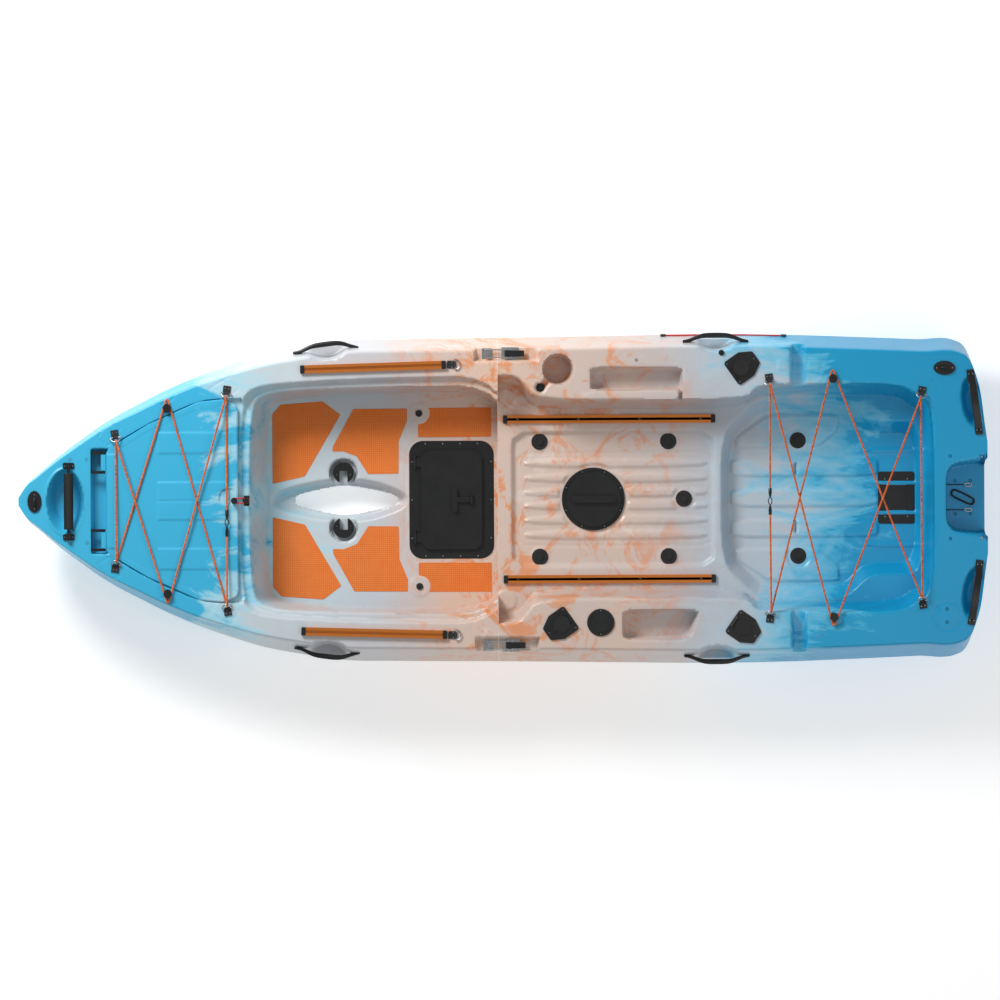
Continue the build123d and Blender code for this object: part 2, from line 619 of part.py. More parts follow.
def lashing(prefix, spot, plane):
    """Writes one lashing: tabs, rings, guides, hook and bungee, laid out on a deck plane."""
    rings, turns = lashing_places(spot)
    tabs, loops = [], []
    for place, first, second in rings:
        dx, dy = pull(place, first, second)
        seat = plane * Location((*place, SLACK)) * Rotation(0, 0, degrees(atan2(dy, dx)))
        tabs.append(fasten(prefix, ring_tab(), [(-16, -6), (-16, 6)], 3, seat))
        lug = seat * Location((0, 0, LUG_W))
        loops.append(lug * Rotation(0, -RING_TILT, 0) * d_ring())
    keep(prefix + "_lashing_tabs", group(tabs))
    keep(prefix + "_lashing_rings", group(loops))
    posts = [plane * Location((*place, SLACK)) * guide() for place in turns]
    keep(prefix + "_lashing_guides", group(posts))
    hook = Location((*spot["hook"], HOOK_W)) * Rotation(90, 0, 0) * cyl(7.5, -HOOK_HALF, HOOK_HALF)
    for side in (1, -1):
        y = spot["hook"][1] + side * (HOOK_HALF - 4)
        socket = Location((spot["hook"][0], y, HOOK_W)) * Rotation(90, 0, 0) * cyl(CORD_R + SLACK, -4.5, 4.5)
        hook -= socket
    keep(prefix + "_lashing_hook", plane * hook)
    points, bends = lashing_route(spot)
    cord = tube_path(points, bends, CORD_R)
    keep(prefix + "_lashing_bungee", plane * cord)
    path = FilletPolyline(*points, radius=bends)
    print(prefix, "bungee", round(path.length), "mm, bends", [round(b, 1) for b in bends],
          "volume over section", round(cord.volume / (path.length * 3.14159 * CORD_R ** 2), 3))


# ---- bow hatch --------------------------------------------------------------------------
EAR_R = 7.0
PIN_R = 3.0
LID_W0 = -LID_RECESS + GASKET_T + SLACK


def bow_hatch():
    lid = prism(both(LID), LID_CORNER, LID_W0, LID_CROWN)
    lid -= prism(both(LID), LID_CORNER + BIN_INSET, LID_W0 - 1, LID_CROWN - 6, -BIN_INSET - 4)
    hinges = []
    for side in (1, -1):
        y = side * HINGE_Y
        knuckle = turned(HINGE_X, y, HINGE_W, EAR_R, HINGE_LEN / 2)
        arm = block(HINGE_X, TROUGH_X1 + 2, y - HINGE_LEN / 2, y + HINGE_LEN / 2, HINGE_W - 6, HINGE_W + 6)
        lid = lid + knuckle + arm - turned(HINGE_X, y, HINGE_W, PIN_R + RUN_CLEAR, HINGE_LEN)
        hinges.append(hinge_bracket(y))
    keep("bow_hatch_lid", foredeck(lid.solids()[0]))
    keep("bow_hatch_hinges", foredeck(group(hinges)))
    seal = prism(both(LID), LID_CORNER, -LID_RECESS, -LID_RECESS + GASKET_T, -4)
    seal -= prism(both(LID), LID_CORNER + 22, -LID_RECESS - 1, 0, -26)
    keep("bow_hatch_gasket", foredeck(seal))
    knob = Location((*LATCH_KNOB, LID_CROWN)) * knob_post(10, LATCH_STEM_R, LATCH_TALL)
    keep("bow_latch_knob", foredeck(knob))
    loop_w = LID_CROWN + LATCH_TALL - 8
    tall = (FOREDECK * Location((*CATCH, loop_w + 8))).position.Z - LEDGE_Z
    catch = at(*CATCH, LEDGE_Z) * (block(-9, 9, -16, 16, 0, 3) + knob_post(9, LATCH_STEM_R, tall))
    keep("bow_latch_catch", catch)
    loop = stadium(CATCH[0] - LATCH_KNOB[0], LATCH_STEM_R + LOOP_R + SLACK, LOOP_R)
    keep("bow_latch_loop", foredeck(Location(((CATCH[0] + LATCH_KNOB[0]) / 2, 0, loop_w)) * loop))


LATCH_STEM_R = 5.0
LATCH_TALL = 18.0
LOOP_R = 2.2


def hinge_bracket(y):
    """Two ears joined by a plate on the trough's front wall, carrying the hinge pin."""
    front = TROUGH_X0 + SLACK
    reach = HINGE_LEN / 2 + 1
    body = block(front, front + 4, y - reach - 9, y + reach + 9, -34, -9)
    for a in (y - reach - 9, y + reach):
        ear = block(front, HINGE_X, a, a + 9, HINGE_W - EAR_R, HINGE_W + 2)
        body = body + ear + turned(HINGE_X, a + 4.5, HINGE_W, EAR_R, 4.5)
    return (body + turned(HINGE_X, y, HINGE_W, PIN_R, reach + 9)).solids()[0]


# ---- bow fittings -------------------------------------------------------------------------
GRIP_R = 15.0
GRIP_ROD_R = 5.0


def bow_fittings():
    x, y = BOW_WELL
    half = BOW_WELL_R[1] + 14
    lift = 12.0
    seat = on_deck(x + 9, y, 0, SLACK)
    keep("bow_handle_grip", seat * (turned(0, 0, lift, GRIP_R, 88) - turned(0, 0, lift, GRIP_ROD_R + 0.2, 90)))
    mounts = [seat * turned(0, 0, lift, GRIP_ROD_R, half)]
    for side in (1, -1):
        base = rounded_plate(36, 20, 5, 0, 4) + block(-8, 8, -7, 7, 0, lift) + turned(0, 0, lift, 8, 7)
        base -= turned(0, 0, lift, GRIP_ROD_R + 0.2, 8)
        spot = on_deck(x + 9, side * (half - 4), 0, SLACK)
        mounts.append(fasten("bow", base, [(-13, 0), (13, 0)], 4, spot))
    keep("bow_handle_mounts", group(mounts))


# ---- foam pads ------------------------------------------------------------------------------
PAD_FRONT = [P(-738, 276), P(-712, 306), P(-577, 316), P(-520, 273), P(-635, 77), P(-738, 53)]
PAD_MIDDLE = [P(-479, 291), P(-308, 292), P(-308, 253), P(-335, 187), P(-336, 84), P(-433, 83), P(-470, 140),
              P(-512, 156), P(-547, 155), P(-545, 172)]
PAD_REAR = [P(-273, 293), P(-40, 294), P(-40, 201), P(-273, 200)]


def foam_pads():
    pads = []
    for points in (PAD_FRONT, PAD_MIDDLE, PAD_REAR):
        for side in (1, -1):
            pad = prism([(x, side * y) for x, y in points], 4, FLOOR_Z, FLOOR_Z + PAD_T)
            for x, y in SCUPPERS_FLOOR:
                pad -= at(x, y, 0) * cyl(PLUG_HEAD_R + 6, 0, 200)
            pads.append(pad.solids()[0])
    keep("deck_pads", group(pads))


# ---- drive mounts and scupper plugs ------------------------------------------------------------
def drive_saddles():
    z = FLOOR_Z - SADDLE_DEPTH
    clips = []
    for side in (1, -1):
        clip = cyl(33, 0, 22) - block(-13, 13, -60, 6, -1, 30)
        spin = 0 if side > 0 else 180
        spot = at(SADDLE[0], side * SADDLE[1], z, spin)
        clips.append(fasten("bow", clip, [(-22, -6), (22, -6)], 22, spot))
    keep("drive_saddles", group(clips))


def scupper_plugs():
    plugs = []
    for x, y, z in scupper_places():
        stem = Location((0, 0, -40)) * Solid.make_cone(SCUPPER_R - 3, SCUPPER_R - 0.5, 40)
        plugs.append(at(x, y, z) * (cyl(PLUG_HEAD_R, 0, 5) + stem + cyl(11, 5, 9)))
    keep("scupper_plugs", group(plugs))


# ---- rails ---------------------------------------------------------------------------------------
def rails():
    (x0, y0), (x1, y1) = FRONT_RAIL
    (a, seat_y), (b, _) = SEAT_RAIL
    front, seat, caps = [], [], []
    for side in (1, -1):
        spin = side * degrees(atan2(y1 - y0, x1 - x0))
        mid = at((x0 + x1) / 2, side * (y0 + y1) / 2, GUNWALE_Z, spin)
        front.append(mounted_rail("bow", hypot(x1 - x0, y1 - y0), mid, caps))
        seat.append(mounted_rail("stern", b - a, at((a + b) / 2, side * seat_y, SEAT_Z), caps))
    keep("front_rails", group(front))
    keep("seat_rails", group(seat))
    keep("rail_end_caps", group(caps))
    tabs = []
    for side, name in ((1, "starboard"), (-1, "port")):
        seat = at(RAIL_RING[0], side * RAIL_RING[1], GUNWALE_Z + SLACK)
        tabs.append(fasten("bow", ring_tab(), [(-9, -8), (-9, 8)], 3, seat))
        keep("rail_dring_" + name, seat * Location((0, 0, LUG_W)) * d_ring())
    keep("rail_dring_tabs", group(tabs))


def mounted_rail(body, length, mid, caps):
    """One rail in place, with its end caps added to a list and its screws filed under a body."""
    count = max(3, round(length / 150))
    track = length - 2 * CAP_L
    places = [(track * (i / (count - 1) - 0.5) * 0.9, 0) for i in range(count)]
    bar = rail(track)
    for x, y in places:
        bar -= Location((x, y, 0)) * cyl(SCREW_R + SCREW_CLEAR, -1, 4)
        screw = cyl(3.6, 3, 4.6) + cyl(SCREW_R, 0, 3)
        SCREWS.setdefault(body, []).append(mid * Location((x, y, 0)) * screw)
    off = track / 2 + CAP_L / 2
    caps += [mid * Location((s * off, 0, 0)) * rounded_plate(CAP_L, RAIL_W, 3, 0, RAIL_H) for s in (-1, 1)]
    return mid * bar


CAP_L = 14.0


# ---- floor hatch -------------------------------------------------------------------------------------
FRAME_T = 4.0
HATCH_LID_L, HATCH_LID_W = 195.0, 316.0
PIN2_R = 2.5


def floor_hatch():
    x, y = HATCH
    open_l, open_w = HATCH_L - 2 * HATCH_RIM, HATCH_W - 2 * HATCH_RIM
    frame = rounded_plate(HATCH_L, HATCH_W, 44, 0, FRAME_T)
    frame += rounded_plate(open_l - 2 * SLACK, open_w - 2 * SLACK, 22, -20, 1)
    frame -= rounded_plate(open_l - 8, open_w - 8, 18, -21, FRAME_T + 1)
    hinge_x, hinge_z = -HATCH_L / 2 + 18, FRAME_T + 8
    lid_z0 = FRAME_T + GASKET_T + SLACK
    lid = rounded_plate(HATCH_LID_L, HATCH_LID_W, 30, lid_z0, lid_z0 + 9)
    lid -= rounded_plate(open_l - 20, open_w - 20, 16, lid_z0 - 1, lid_z0 + 4)
    for y0 in (-120, 120):
        arm = block(hinge_x, -HATCH_LID_L / 2 + 4, y0 - 14, y0 + 14, lid_z0 + 2, lid_z0 + 8)
        lid = lid + turned(hinge_x, y0, hinge_z, 5.5, 14) + arm
        lid -= turned(hinge_x, y0, hinge_z, PIN2_R + RUN_CLEAR, 15)
        for a in (-21, 15):
            ear = block(hinge_x - 5.5, hinge_x + 5.5, y0 + a, y0 + a + 6, FRAME_T - 1, hinge_z)
            frame = frame + ear + turned(hinge_x, y0 + a + 3, hinge_z, 5.5, 3)
        frame = frame + turned(hinge_x, y0, hinge_z, PIN2_R, 21)
    half_l, half_w = HATCH_L / 2 - 9, HATCH_W / 2 - 9
    places = [(half_l * (i / 1.5 - 1) * 0.66, s * half_w) for i in range(4) for s in (-1, 1)]
    places += [(s * half_l, i * half_w * 0.68) for i in (-1, 0, 1) for s in (-1, 1)]
    keep("floor_hatch_frame", fasten("bow", frame, places, FRAME_T, at(x, y, FLOOR_Z)))
    seal = rounded_plate(open_l + 6, open_w + 6, 24, FRAME_T, FRAME_T + GASKET_T)
    seal -= rounded_plate(open_l - 6, open_w - 6, 19, 0, 20)
    keep("floor_hatch_gasket", at(x, y, FLOOR_Z) * seal)
    top = lid_z0 + 9
    bx = HATCH_LID_L / 2 - 34
    ears = block(bx - 8, bx + 8, -15, 15, top - 1, top + 1.5)
    for a in (-15, 10):
        ears += block(bx - 5, bx + 5, a, a + 5, top, top + 8) + turned(bx, a + 2.5, top + 8, 5, 2.5)
    ears += turned(bx, 0, top + 8, PIN2_R, 15)
    keep("floor_hatch_lid", at(x, y, FLOOR_Z) * (lid + ears).solids()[0])
    handle = turned(bx, 0, top + 8, 6, 9) + block(bx - 56, bx, -8, 8, top + 4, top + 11)
    bar = Location((bx - 54, 0, 0)) * rounded_plate(18, 80, 8, top + 4, top + 12)
    handle = handle + bar - turned(bx, 0, top + 8, PIN2_R + RUN_CLEAR, 20)
    keep("floor_hatch_latch", at(x, y, FLOOR_Z) * handle.solids()[0])
    print("floor hatch hinge at", x + hinge_x, FLOOR_Z + hinge_z, "latch pin at", x + bx, FLOOR_Z + top + 8)


def turned(x, y, z, r, half):
    """A round bar along Y centred on x, y, z."""
    return Location((x, y, z)) * Rotation(90, 0, 0) * cyl(r, -half, half)


# ---- round hatch and deck plate -------------------------------------------------------------------------
def round_hatch():
    z = SEAT_Z - PAN_DEPTH
    frame = cyl(ROUND_R, 0, 5) + cyl(ROUND_BORE + 3.6, -22, 1)
    frame -= cyl(ROUND_BORE, -23, 6)
    places = [(ROUND_R * 0.93 * cos(radians(a)), ROUND_R * 0.93 * sin(radians(a))) for a in range(22, 382, 45)]
    keep("round_hatch_frame", fasten("stern", frame, places, 5, at(*ROUND_HATCH, z)))
    keep("round_hatch_seal", at(*ROUND_HATCH, z) * ring(83, 78, 5 + SLACK, 8))
    lid = cyl(87, 8, 14) + cyl(ROUND_BORE - 0.8, -12, 9) - cyl(ROUND_BORE - 5, -13, 8)
    lid = lid + rounded_plate(142, 22, 10, 13, 26) - cyl(58, 5, 10)
    keep("round_hatch_lid", at(*ROUND_HATCH, z) * lid)
    plate = cyl(PLATE_R, 0, 4) + cyl(PLATE_BORE + 3.6, -16, 1)
    plate -= cyl(PLATE_BORE, -17, 6)
    plate = fasten("stern", plate, [(0, -37), (0, 37)], 4, at(*DECK_PLATE, GUNWALE_Z))
    keep("deck_plate_ring", plate)
    cap = cyl(31, 4 + SLACK, 7) + cyl(PLATE_BORE - 0.3, -10, 5) - cyl(PLATE_BORE - 4, -11, 3)
    cap -= group([Location((s * 15, 0, 0)) * cyl(5, 5.5, 8) for s in (-1, 1)])
    keep("deck_plate_cap", at(*DECK_PLATE, GUNWALE_Z) * cap)
    drain = at(*CUP_DRAIN, GUNWALE_Z - 22) * (cyl(CUP_DRAIN_R - 0.5, -8, 4) + cyl(9, 4, 8))
    keep("cup_drain_plug", drain)


# ---- rod holders ---------------------------------------------------------------------------------------------
ROD_PLATE = [(-38, -44), (20, -44), (58, -22), (58, 22), (20, 44), (-38, 44)]
ROD_HINGE_X = -31.0


def rod_holders():
    holders = []
    for name, ((x, y), spin) in ROD_HOLDERS.items():
        spot = at(x, y, GUNWALE_Z, spin)
        body = prism(ROD_PLATE, 10, 0, 4) + cyl(ROD_R + ROD_WALL, -ROD_TUBE, 1) - cyl(ROD_R, -ROD_TUBE + 4, 6)
        for a in (-18, 12):
            body += block(ROD_HINGE_X - 4, ROD_HINGE_X + 4, a, a + 6, 3, 9) + turned(ROD_HINGE_X, a + 3, 9, 4, 3)
        body += turned(ROD_HINGE_X, 0, 9, 2, 18)
        holders.append(fasten("stern", body, [(-30, -35), (-30, 35), (48, 0)], 4, spot))
        cap = cyl(ROD_R + 4, 4 + SLACK, 8) + cyl(ROD_R - 1.5, 0, 5)
        cap += block(ROD_HINGE_X, -18, -11, 11, 5, 8) + turned(ROD_HINGE_X, 0, 9, 4, 11)
        cap = cap - turned(ROD_HINGE_X, 0, 9, 2 + RUN_CLEAR, 13) + block(20, 34, -5, 5, 5, 8)
        keep("rod_cap_" + name, spot * cap.solids()[0])
    keep("rod_holders", group(holders))


# ---- handles ----------------------------------------------------------------------------------------------------
def side_wall(x, side, z, lift, reach=90.0):
    """Location on the outside of the topside, square to its chord, its local Z standing out of the hull."""
    lean = degrees(atan2(44.0, GUNWALE_Z - 130.0))
    back, ahead = side_y(x - reach, z), side_y(x + reach, z)
    yaw = degrees(atan2(ahead - back, 2 * reach))
    foot = Location((x, side * (back + ahead) / 2, z)) * Rotation(0, 0, side * yaw)
    return foot * Rotation(-side * (90 - lean), 0, 0) * Location((0, 0, lift))


def side_bulge(x, z, places, reach=90.0):
    """How far the topside stands past its chord at places along the chord."""
    back, ahead = side_y(x - reach, z), side_y(x + reach, z)
    chord = [(back + ahead) / 2 + (ahead - back) * d / (2 * reach) for d in places]
    return max(side_y(x + d, z) - c for d, c in zip(places, chord))


def carry_handles():
    handles = []
    for name, (x, side) in SIDE_HANDLES.items():
        body = "bow" if name.startswith("front") else "stern"
        strap = strap_handle(HANDLE_HALF + 6, 22, 26, 7)
        feet = [s * (HANDLE_HALF + d) for s in (-1, 1) for d in (6, -20)]
        spot = side_wall(x * SX, side, HANDLE_Z, max(side_bulge(x * SX, HANDLE_Z, feet), 0) + SLACK)
        handles.append(fasten(body, strap, [(-HANDLE_HALF + 6, 0), (HANDLE_HALF - 6, 0)], 7, spot))
    keep("side_handles", group(handles))
    straps = []
    for side in (1, -1):
        x, y = STERN_HANDLE
        strap = strap_handle(STERN_HANDLE_HALF + 6, 24, 26, 6)
        spot = at(x, side * y, GUNWALE_Z + SLACK, 90 + side * STERN_HANDLE_LEAN)
        ends = [(s * (STERN_HANDLE_HALF - 8), t) for s in (-1, 1) for t in (-6, 6)]
        straps.append(fasten("stern", strap, ends, 6, spot))
    keep("stern_handles", group(straps))


# ---- draw latches ---------------------------------------------------------------------------------------------------
LATCH_A = (10.0, LATCH_POCKET_Z + 10.0)      # lever pivot
LATCH_B = (24.0, LATCH_POCKET_Z + 15.5)      # loop pivot in the lever
KEEPER_X = -50.0
LOOP_Y = 12.2


def draw_latches():
    mounts = []
    ax, az = LATCH_A
    bx, bz = LATCH_B
    for side, name in ((1, "starboard"), (-1, "port")):
        y = side * LATCH_Y
        keeper = block(-18, 14, -17, 17, 0, 3) + block(-3, 3, -9.5, 9.5, 0, 19)
        spot = at(KEEPER_X, y, LATCH_POCKET_Z)
        mounts.append(fasten("bow", keeper, [(-11, -9), (-11, 9)], 3, spot))
        base = block(-6, 48, -20, 20, 0, 3)
        for a in (-19, 15):
            base += block(ax - 6, ax + 6, a, a + 4, 1, 10) + turned(ax, a + 2, 10, 6, 2)
        base += turned(ax, 0, 10, PIN2_R, 19)
        mounts.append(fasten("stern", base, [(40, -14), (40, 14)], 3, at(0, y, LATCH_POCKET_Z)))
        lever = turned(ax, 0, az, 6, 9.5) + block(ax, 66, -9.5, 9.5, bz - 4, bz + 4)
        lever -= turned(ax, 0, az, PIN2_R + RUN_CLEAR, 12)
        lever -= turned(bx, 0, bz, 2 + RUN_CLEAR, 12)
        keep("latch_lever_" + name, Location((0, y, 0)) * lever.solids()[0])
        loop = turned(bx, 0, bz, 2, LOOP_Y) + turned(KEEPER_X - 6, 0, bz, 2, LOOP_Y)
        for s in (-LOOP_Y, LOOP_Y):
            loop += Location(((bx + KEEPER_X - 6) / 2, s, bz)) * Rotation(0, 90, 0) * Cylinder(2, bx - KEEPER_X + 6)
            loop += Location((bx, s, bz)) * Sphere(2)
            loop += Location((KEEPER_X - 6, s, bz)) * Sphere(2)
        keep("latch_loop_" + name, Location((0, y, 0)) * loop.solids()[0])
    keep("latch_mounts", group(mounts))


# ---- stern fittings ----------------------------------------------------------------------------------------------------
def stern_fittings():
    cover = rounded_plate(COVER_L, COVER_W, 8, 0, 5)
    cover -= rounded_plate(66, 104, 14, 3.5, 6)
    ends = [(s * 36, t * 60) for s in (-1, 1) for t in (-1, 1)]
    keep("tank_cover_plate", fasten("stern", cover, ends, 5, at(*COVER, TANK_Z)))
    bow_eye = fasten("bow", eye_plate(44, 68), [(0, -22), (0, 22)], 4, on_deck(*BOW_EYE, 0, SLACK))
    stern_eye = fasten("stern", eye_plate(44, 68), [(0, -25), (0, 25)], 4, at(*STERN_EYE, GUNWALE_Z + SLACK, 90))
    keep("pad_eyes", group([bow_eye, stern_eye]))
    lines, shackles = [], []
    bail_x = 1472 * SX
    for side in (1, -1):
        y = side * 40 * SY
        line = tube_path([(1397.6 * SX, y, NOTCH_Z + 9), (1430 * SX, y, NOTCH_Z + 3), (bail_x - 13.3, y, NOTCH_Z + 3)],
                         20, 1.5)
        lines.append(line)
        eyelet = Location((NOTCH[0][0] + SLACK, y, NOTCH_Z + 9)) * Rotation(0, 90, 0) * ring(6, 2, 0, 5)
        shackles.append(eyelet)
        bail = stadium(12, 5, 2)
        shackles.append(at(bail_x, y, NOTCH_Z + 2.2) * bail)
    keep("rudder_lines", group(lines))
    keep("rudder_line_ends", group(shackles))
    hank = stadium(86, 12, 7)
    keep("rudder_cord_hank", at(1455 * SX, 0, NOTCH_Z + 7.3, -26) * hank)
    keeper_cord()


def keeper_cord():
    x0, x1 = PADDLE_KEEPER_X
    mid = 700 * SX
    z = PADDLE_KEEPER_Z
    gap = 2.5 + SLACK + 0.4
    y0, y1, y2 = side_y(x0, z) + gap + 0.6, side_y(mid, z) + gap, side_y(x1, z) + gap + 0.6
    turn = degrees(atan2(y1 - y0, mid - x0) - atan2(y2 - y1, x1 - mid))
    bend = 0.45 * (mid - x0) / tan(radians(turn / 2))
    keep("paddle_keeper_cord", tube_path([(x0, y0, z), (mid, y1, z), (x1, y2, z)], bend, 2.5))
    ends = []
    for x in (x0, x1):
        away = -1 if x == x0 else 1
        ends.append(side_wall(x + away * 9.6, 1, z, 0.6) * cyl(9, 0, 7))
    ends.append(at(*DECK_BUTTON, GUNWALE_Z + SLACK) * (cyl(9, 0, 3) + cyl(6, 0, 7)))
    keep("deck_buttons", group(ends))
    print("paddle keeper bend", round(bend))


# ---- build -----------------------------------------------------------------------------------------------------------
keep("bow_hull", hull("bow"))
keep("stern_hull", hull("stern"))
keep("threaded_inserts", group([spot * ring(INSERT_R, INSERT_BORE, -INSERT_L, 0) for spot in insert_places()]))
bow_hatch()
bow_fittings()
lashing("bow", BOW_LASHING, FOREDECK)
lashing("stern", STERN_LASHING, Location((0, 0, GUNWALE_Z)))
foam_pads()
drive_saddles()
scupper_plugs()
rails()
floor_hatch()
round_hatch()
rod_holders()
carry_handles()
draw_latches()
stern_fittings()
for body_name, screws in SCREWS.items():
    keep(body_name + "_screws", group(screws))

os.makedirs(OUT, exist_ok=True)
for node, shape in NODES.items():
    export_step(shape, f"{OUT}/{node}.step")
print(len(NODES), "nodes")
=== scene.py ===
import json
import math

import bmesh
import bpy
import numpy as np
from mathutils import Matrix, Vector


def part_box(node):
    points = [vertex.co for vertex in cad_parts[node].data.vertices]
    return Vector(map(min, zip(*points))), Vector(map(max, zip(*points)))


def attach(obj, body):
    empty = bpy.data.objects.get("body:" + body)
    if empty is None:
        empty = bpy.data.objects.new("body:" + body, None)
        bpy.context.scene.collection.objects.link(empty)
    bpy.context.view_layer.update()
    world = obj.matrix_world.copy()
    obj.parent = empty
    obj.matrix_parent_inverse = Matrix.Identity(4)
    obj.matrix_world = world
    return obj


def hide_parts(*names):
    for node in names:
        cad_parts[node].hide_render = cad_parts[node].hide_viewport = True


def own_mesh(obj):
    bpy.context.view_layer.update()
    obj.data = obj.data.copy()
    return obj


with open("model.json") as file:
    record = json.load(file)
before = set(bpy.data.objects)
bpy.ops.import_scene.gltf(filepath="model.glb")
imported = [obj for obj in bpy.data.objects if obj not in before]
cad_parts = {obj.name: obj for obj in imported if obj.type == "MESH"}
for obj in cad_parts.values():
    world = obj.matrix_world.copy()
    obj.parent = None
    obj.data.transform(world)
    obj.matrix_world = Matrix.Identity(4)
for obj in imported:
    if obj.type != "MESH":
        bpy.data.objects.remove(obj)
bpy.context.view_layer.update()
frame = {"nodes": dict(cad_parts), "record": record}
NODES = frame["nodes"]

bl_info = {
    "name": "Pedal fishing kayak",
    "version": (1, 0, 0),
    "blender": (4, 5, 0),
    "location": "View3D > Sidebar > Kayak",
    "description": "Builds the looks of a two-section pedal fishing kayak over its CAD frame",
    "category": "Object",
}

MM = 0.001

# ---- the hull's own sizes, in millimetres, as the CAD part has them -----------------
GUNWALE_Z, SHEER_X, SHEER = 300.0, -693.0, math.radians(4.0)
SEAM_X, SEAM_GAP = -19.0, 0.6
LEDGE_Z, FLOOR_Z, SEAT_Z, PAN_Z, TANK_Z, NOTCH_Z, POCKET_Z = 275.0, 95.0, 165.0, 153.0, 110.0, 190.0, 273.0
HALF_BREADTH = [
    (-1524, 18), (-1504, 54), (-1466, 90), (-1403, 145), (-1340, 193), (-1277, 239), (-1213, 278),
    (-1150, 311),
    (-1087, 344), (-1024, 373), (-961, 400), (-897, 423), (-834, 444), (-771, 463), (-708, 477), (-645, 488),
    (-581, 499), (-518, 507), (-329, 512), (-13, 515), (303, 519), (619, 523), (746, 523), (935, 519),
    (1125, 512), (1314, 504), (1441, 498), (1457, 490), (1473, 470), (1488, 432), (1504, 370), (1517, 270),
    (1524, 222),
]
KEEL = [(-1524, 235), (-1504, 190), (-1460, 140), (-1340, 75), (-1150, 30), (-961, 8), (-770, 0), (700, 0),
        (1125, 6), (1544, 30)]
WIDEST = [(-1524, 290), (-1504, 280), (-1460, 265), (-1340, 235), (-1150, 200), (-961, 175), (-770, 155),
          (-518, 140), (-13, 130), (1125, 130), (1544, 135)]
LEAN = [(-1524, 5), (-1504, 10), (-1460, 14), (-1340, 20), (-1150, 28), (-961, 34), (-770, 40), (-518, 43),
        (-13, 44), (1544, 44)]
LID = [(-1251, 161), (-1119, 241), (-961, 312), (-885, 320), (-837, 300)]
FOOT_TOP = [(-834, 305), (-777, 366), (-450, 384), (60, 392)]
FOOT_LEDGE = [(-803, 298), (-745, 346), (-450, 357), (60, 363)]
FOOT_FLOOR = [(-752, 282), (-714, 320), (-450, 340), (60, 347)]
SLOT = [(-668, 17), (-562, 42), (-509, 48), (-455, 42), (-338, 16)]
LIP = [(-735, 24), (-570, 62), (-435, 62), (-315, 20)]
DECK_TOP = [(-90, 392), (45, 392), (103, 314), (757, 314), (812, 360), (1251, 360), (1357, 292)]
DECK_FLOOR = [(-90, 363), (40, 363), (98, 285), (745, 285), (800, 330), (1240, 330), (1336, 267)]
TANK_TOP = [(692, 205), (812, 318), (1082, 318), (1166, 240), (1330, 240)]
TANK_FLOOR = [(717, 171), (828, 282), (1072, 282), (1150, 206), (1312, 206)]
PAN = [(24, 216), (670, 216)]
NOTCH = [(1392, 79), (1419, 110), (1600, 134)]
TRAY_STARBOARD = [(272, 340), (272, 417), (566, 417), (566, 340)]
TRAY_PORT = [(370, -347), (370, -447), (583, -447), (619, -347)]
RIB_CENTRES = (-114, -67, -21, 21, 67, 114)


def mirrored(half):
    return half + [(x, -y) for x, y in reversed(half)]


def at(table, x):
    """The value of a (place, value) table at each x."""
    table = np.array(table, float)
    return np.interp(x, table[:, 0], table[:, 1])


def eased(table, x):
    """The same with a smooth curve through the table's points."""
    t = np.array(table, float)
    px, py = t[:, 0], t[:, 1]
    slope = np.gradient(py, px)
    i = np.clip(np.searchsorted(px, x) - 1, 0, len(px) - 2)
    h = px[i + 1] - px[i]
    u = np.clip((x - px[i]) / h, 0, 1)
    a, b = slope[i] * h, slope[i + 1] * h
    u2, u3 = u * u, u * u * u
    ends = (2 * u3 - 3 * u2 + 1) * py[i] + (u3 - 2 * u2 + u) * a
    return ends + (3 * u2 - 2 * u3) * py[i + 1] + (u3 - u2) * b


def rounded(points, times=2, share=0.22):
    """A closed outline with its corners cut off again and again."""
    p = np.array(points, float)
    for _ in range(times):
        n = np.roll(p, -1, axis=0)
        p = np.stack([p + (n - p) * share, n + (p - n) * share], axis=1).reshape(-1, 2)
    return p


def distance(outline, x, y):
    """Signed distance from a closed outline, negative inside."""
    shape = np.shape(x)
    q = np.stack([np.ravel(x), np.ravel(y)], axis=1)
    a = np.array(outline, float)
    b = np.roll(a, -1, axis=0)
    best = np.full(len(q), 1e18)
    inside = np.zeros(len(q), bool)
    for (ax, ay), (bx, by) in zip(a, b):
        ex, ey = bx - ax, by - ay
        wx, wy = q[:, 0] - ax, q[:, 1] - ay
        t = np.clip((wx * ex + wy * ey) / (ex * ex + ey * ey + 1e-12), 0, 1)
        best = np.minimum(best, (wx - ex * t) ** 2 + (wy - ey * t) ** 2)
        crosses = (ay > q[:, 1]) != (by > q[:, 1])
        if ay != by:
            inside ^= crosses & (q[:, 0] < (bx - ax) * (q[:, 1] - ay) / (by - ay) + ax)
    d = np.sqrt(best)
    return np.where(inside, -d, d).reshape(shape)


def circle(x, y, cx, cy, r):
    return np.hypot(x - cx, y - cy) - r


def ellipse(x, y, cx, cy, rx, ry):
    k = np.hypot((x - cx) / rx, (y - cy) / ry)
    return (k - 1) * min(rx, ry)


def soft_min(a, b, r):
    h = np.clip(r - np.abs(a - b), 0, None)
    return np.minimum(a, b) - h * h / (4 * r)


def soft_max(a, b, r):
    return -soft_min(-a, -b, r)


def sink(z, d, floor, wall, edge=4.0, foot=5.0):
    """A pocket cut into a height field: d is the distance from its mouth, wall its side's width in plan."""
    depth = np.maximum(z - floor, 1.0)
    side = z + d * depth / wall
    bottom = np.broadcast_to(np.asarray(floor, float), z.shape)
    cut = soft_max(side, bottom, foot)
    return np.where(d < edge, soft_min(z, cut, edge), z)


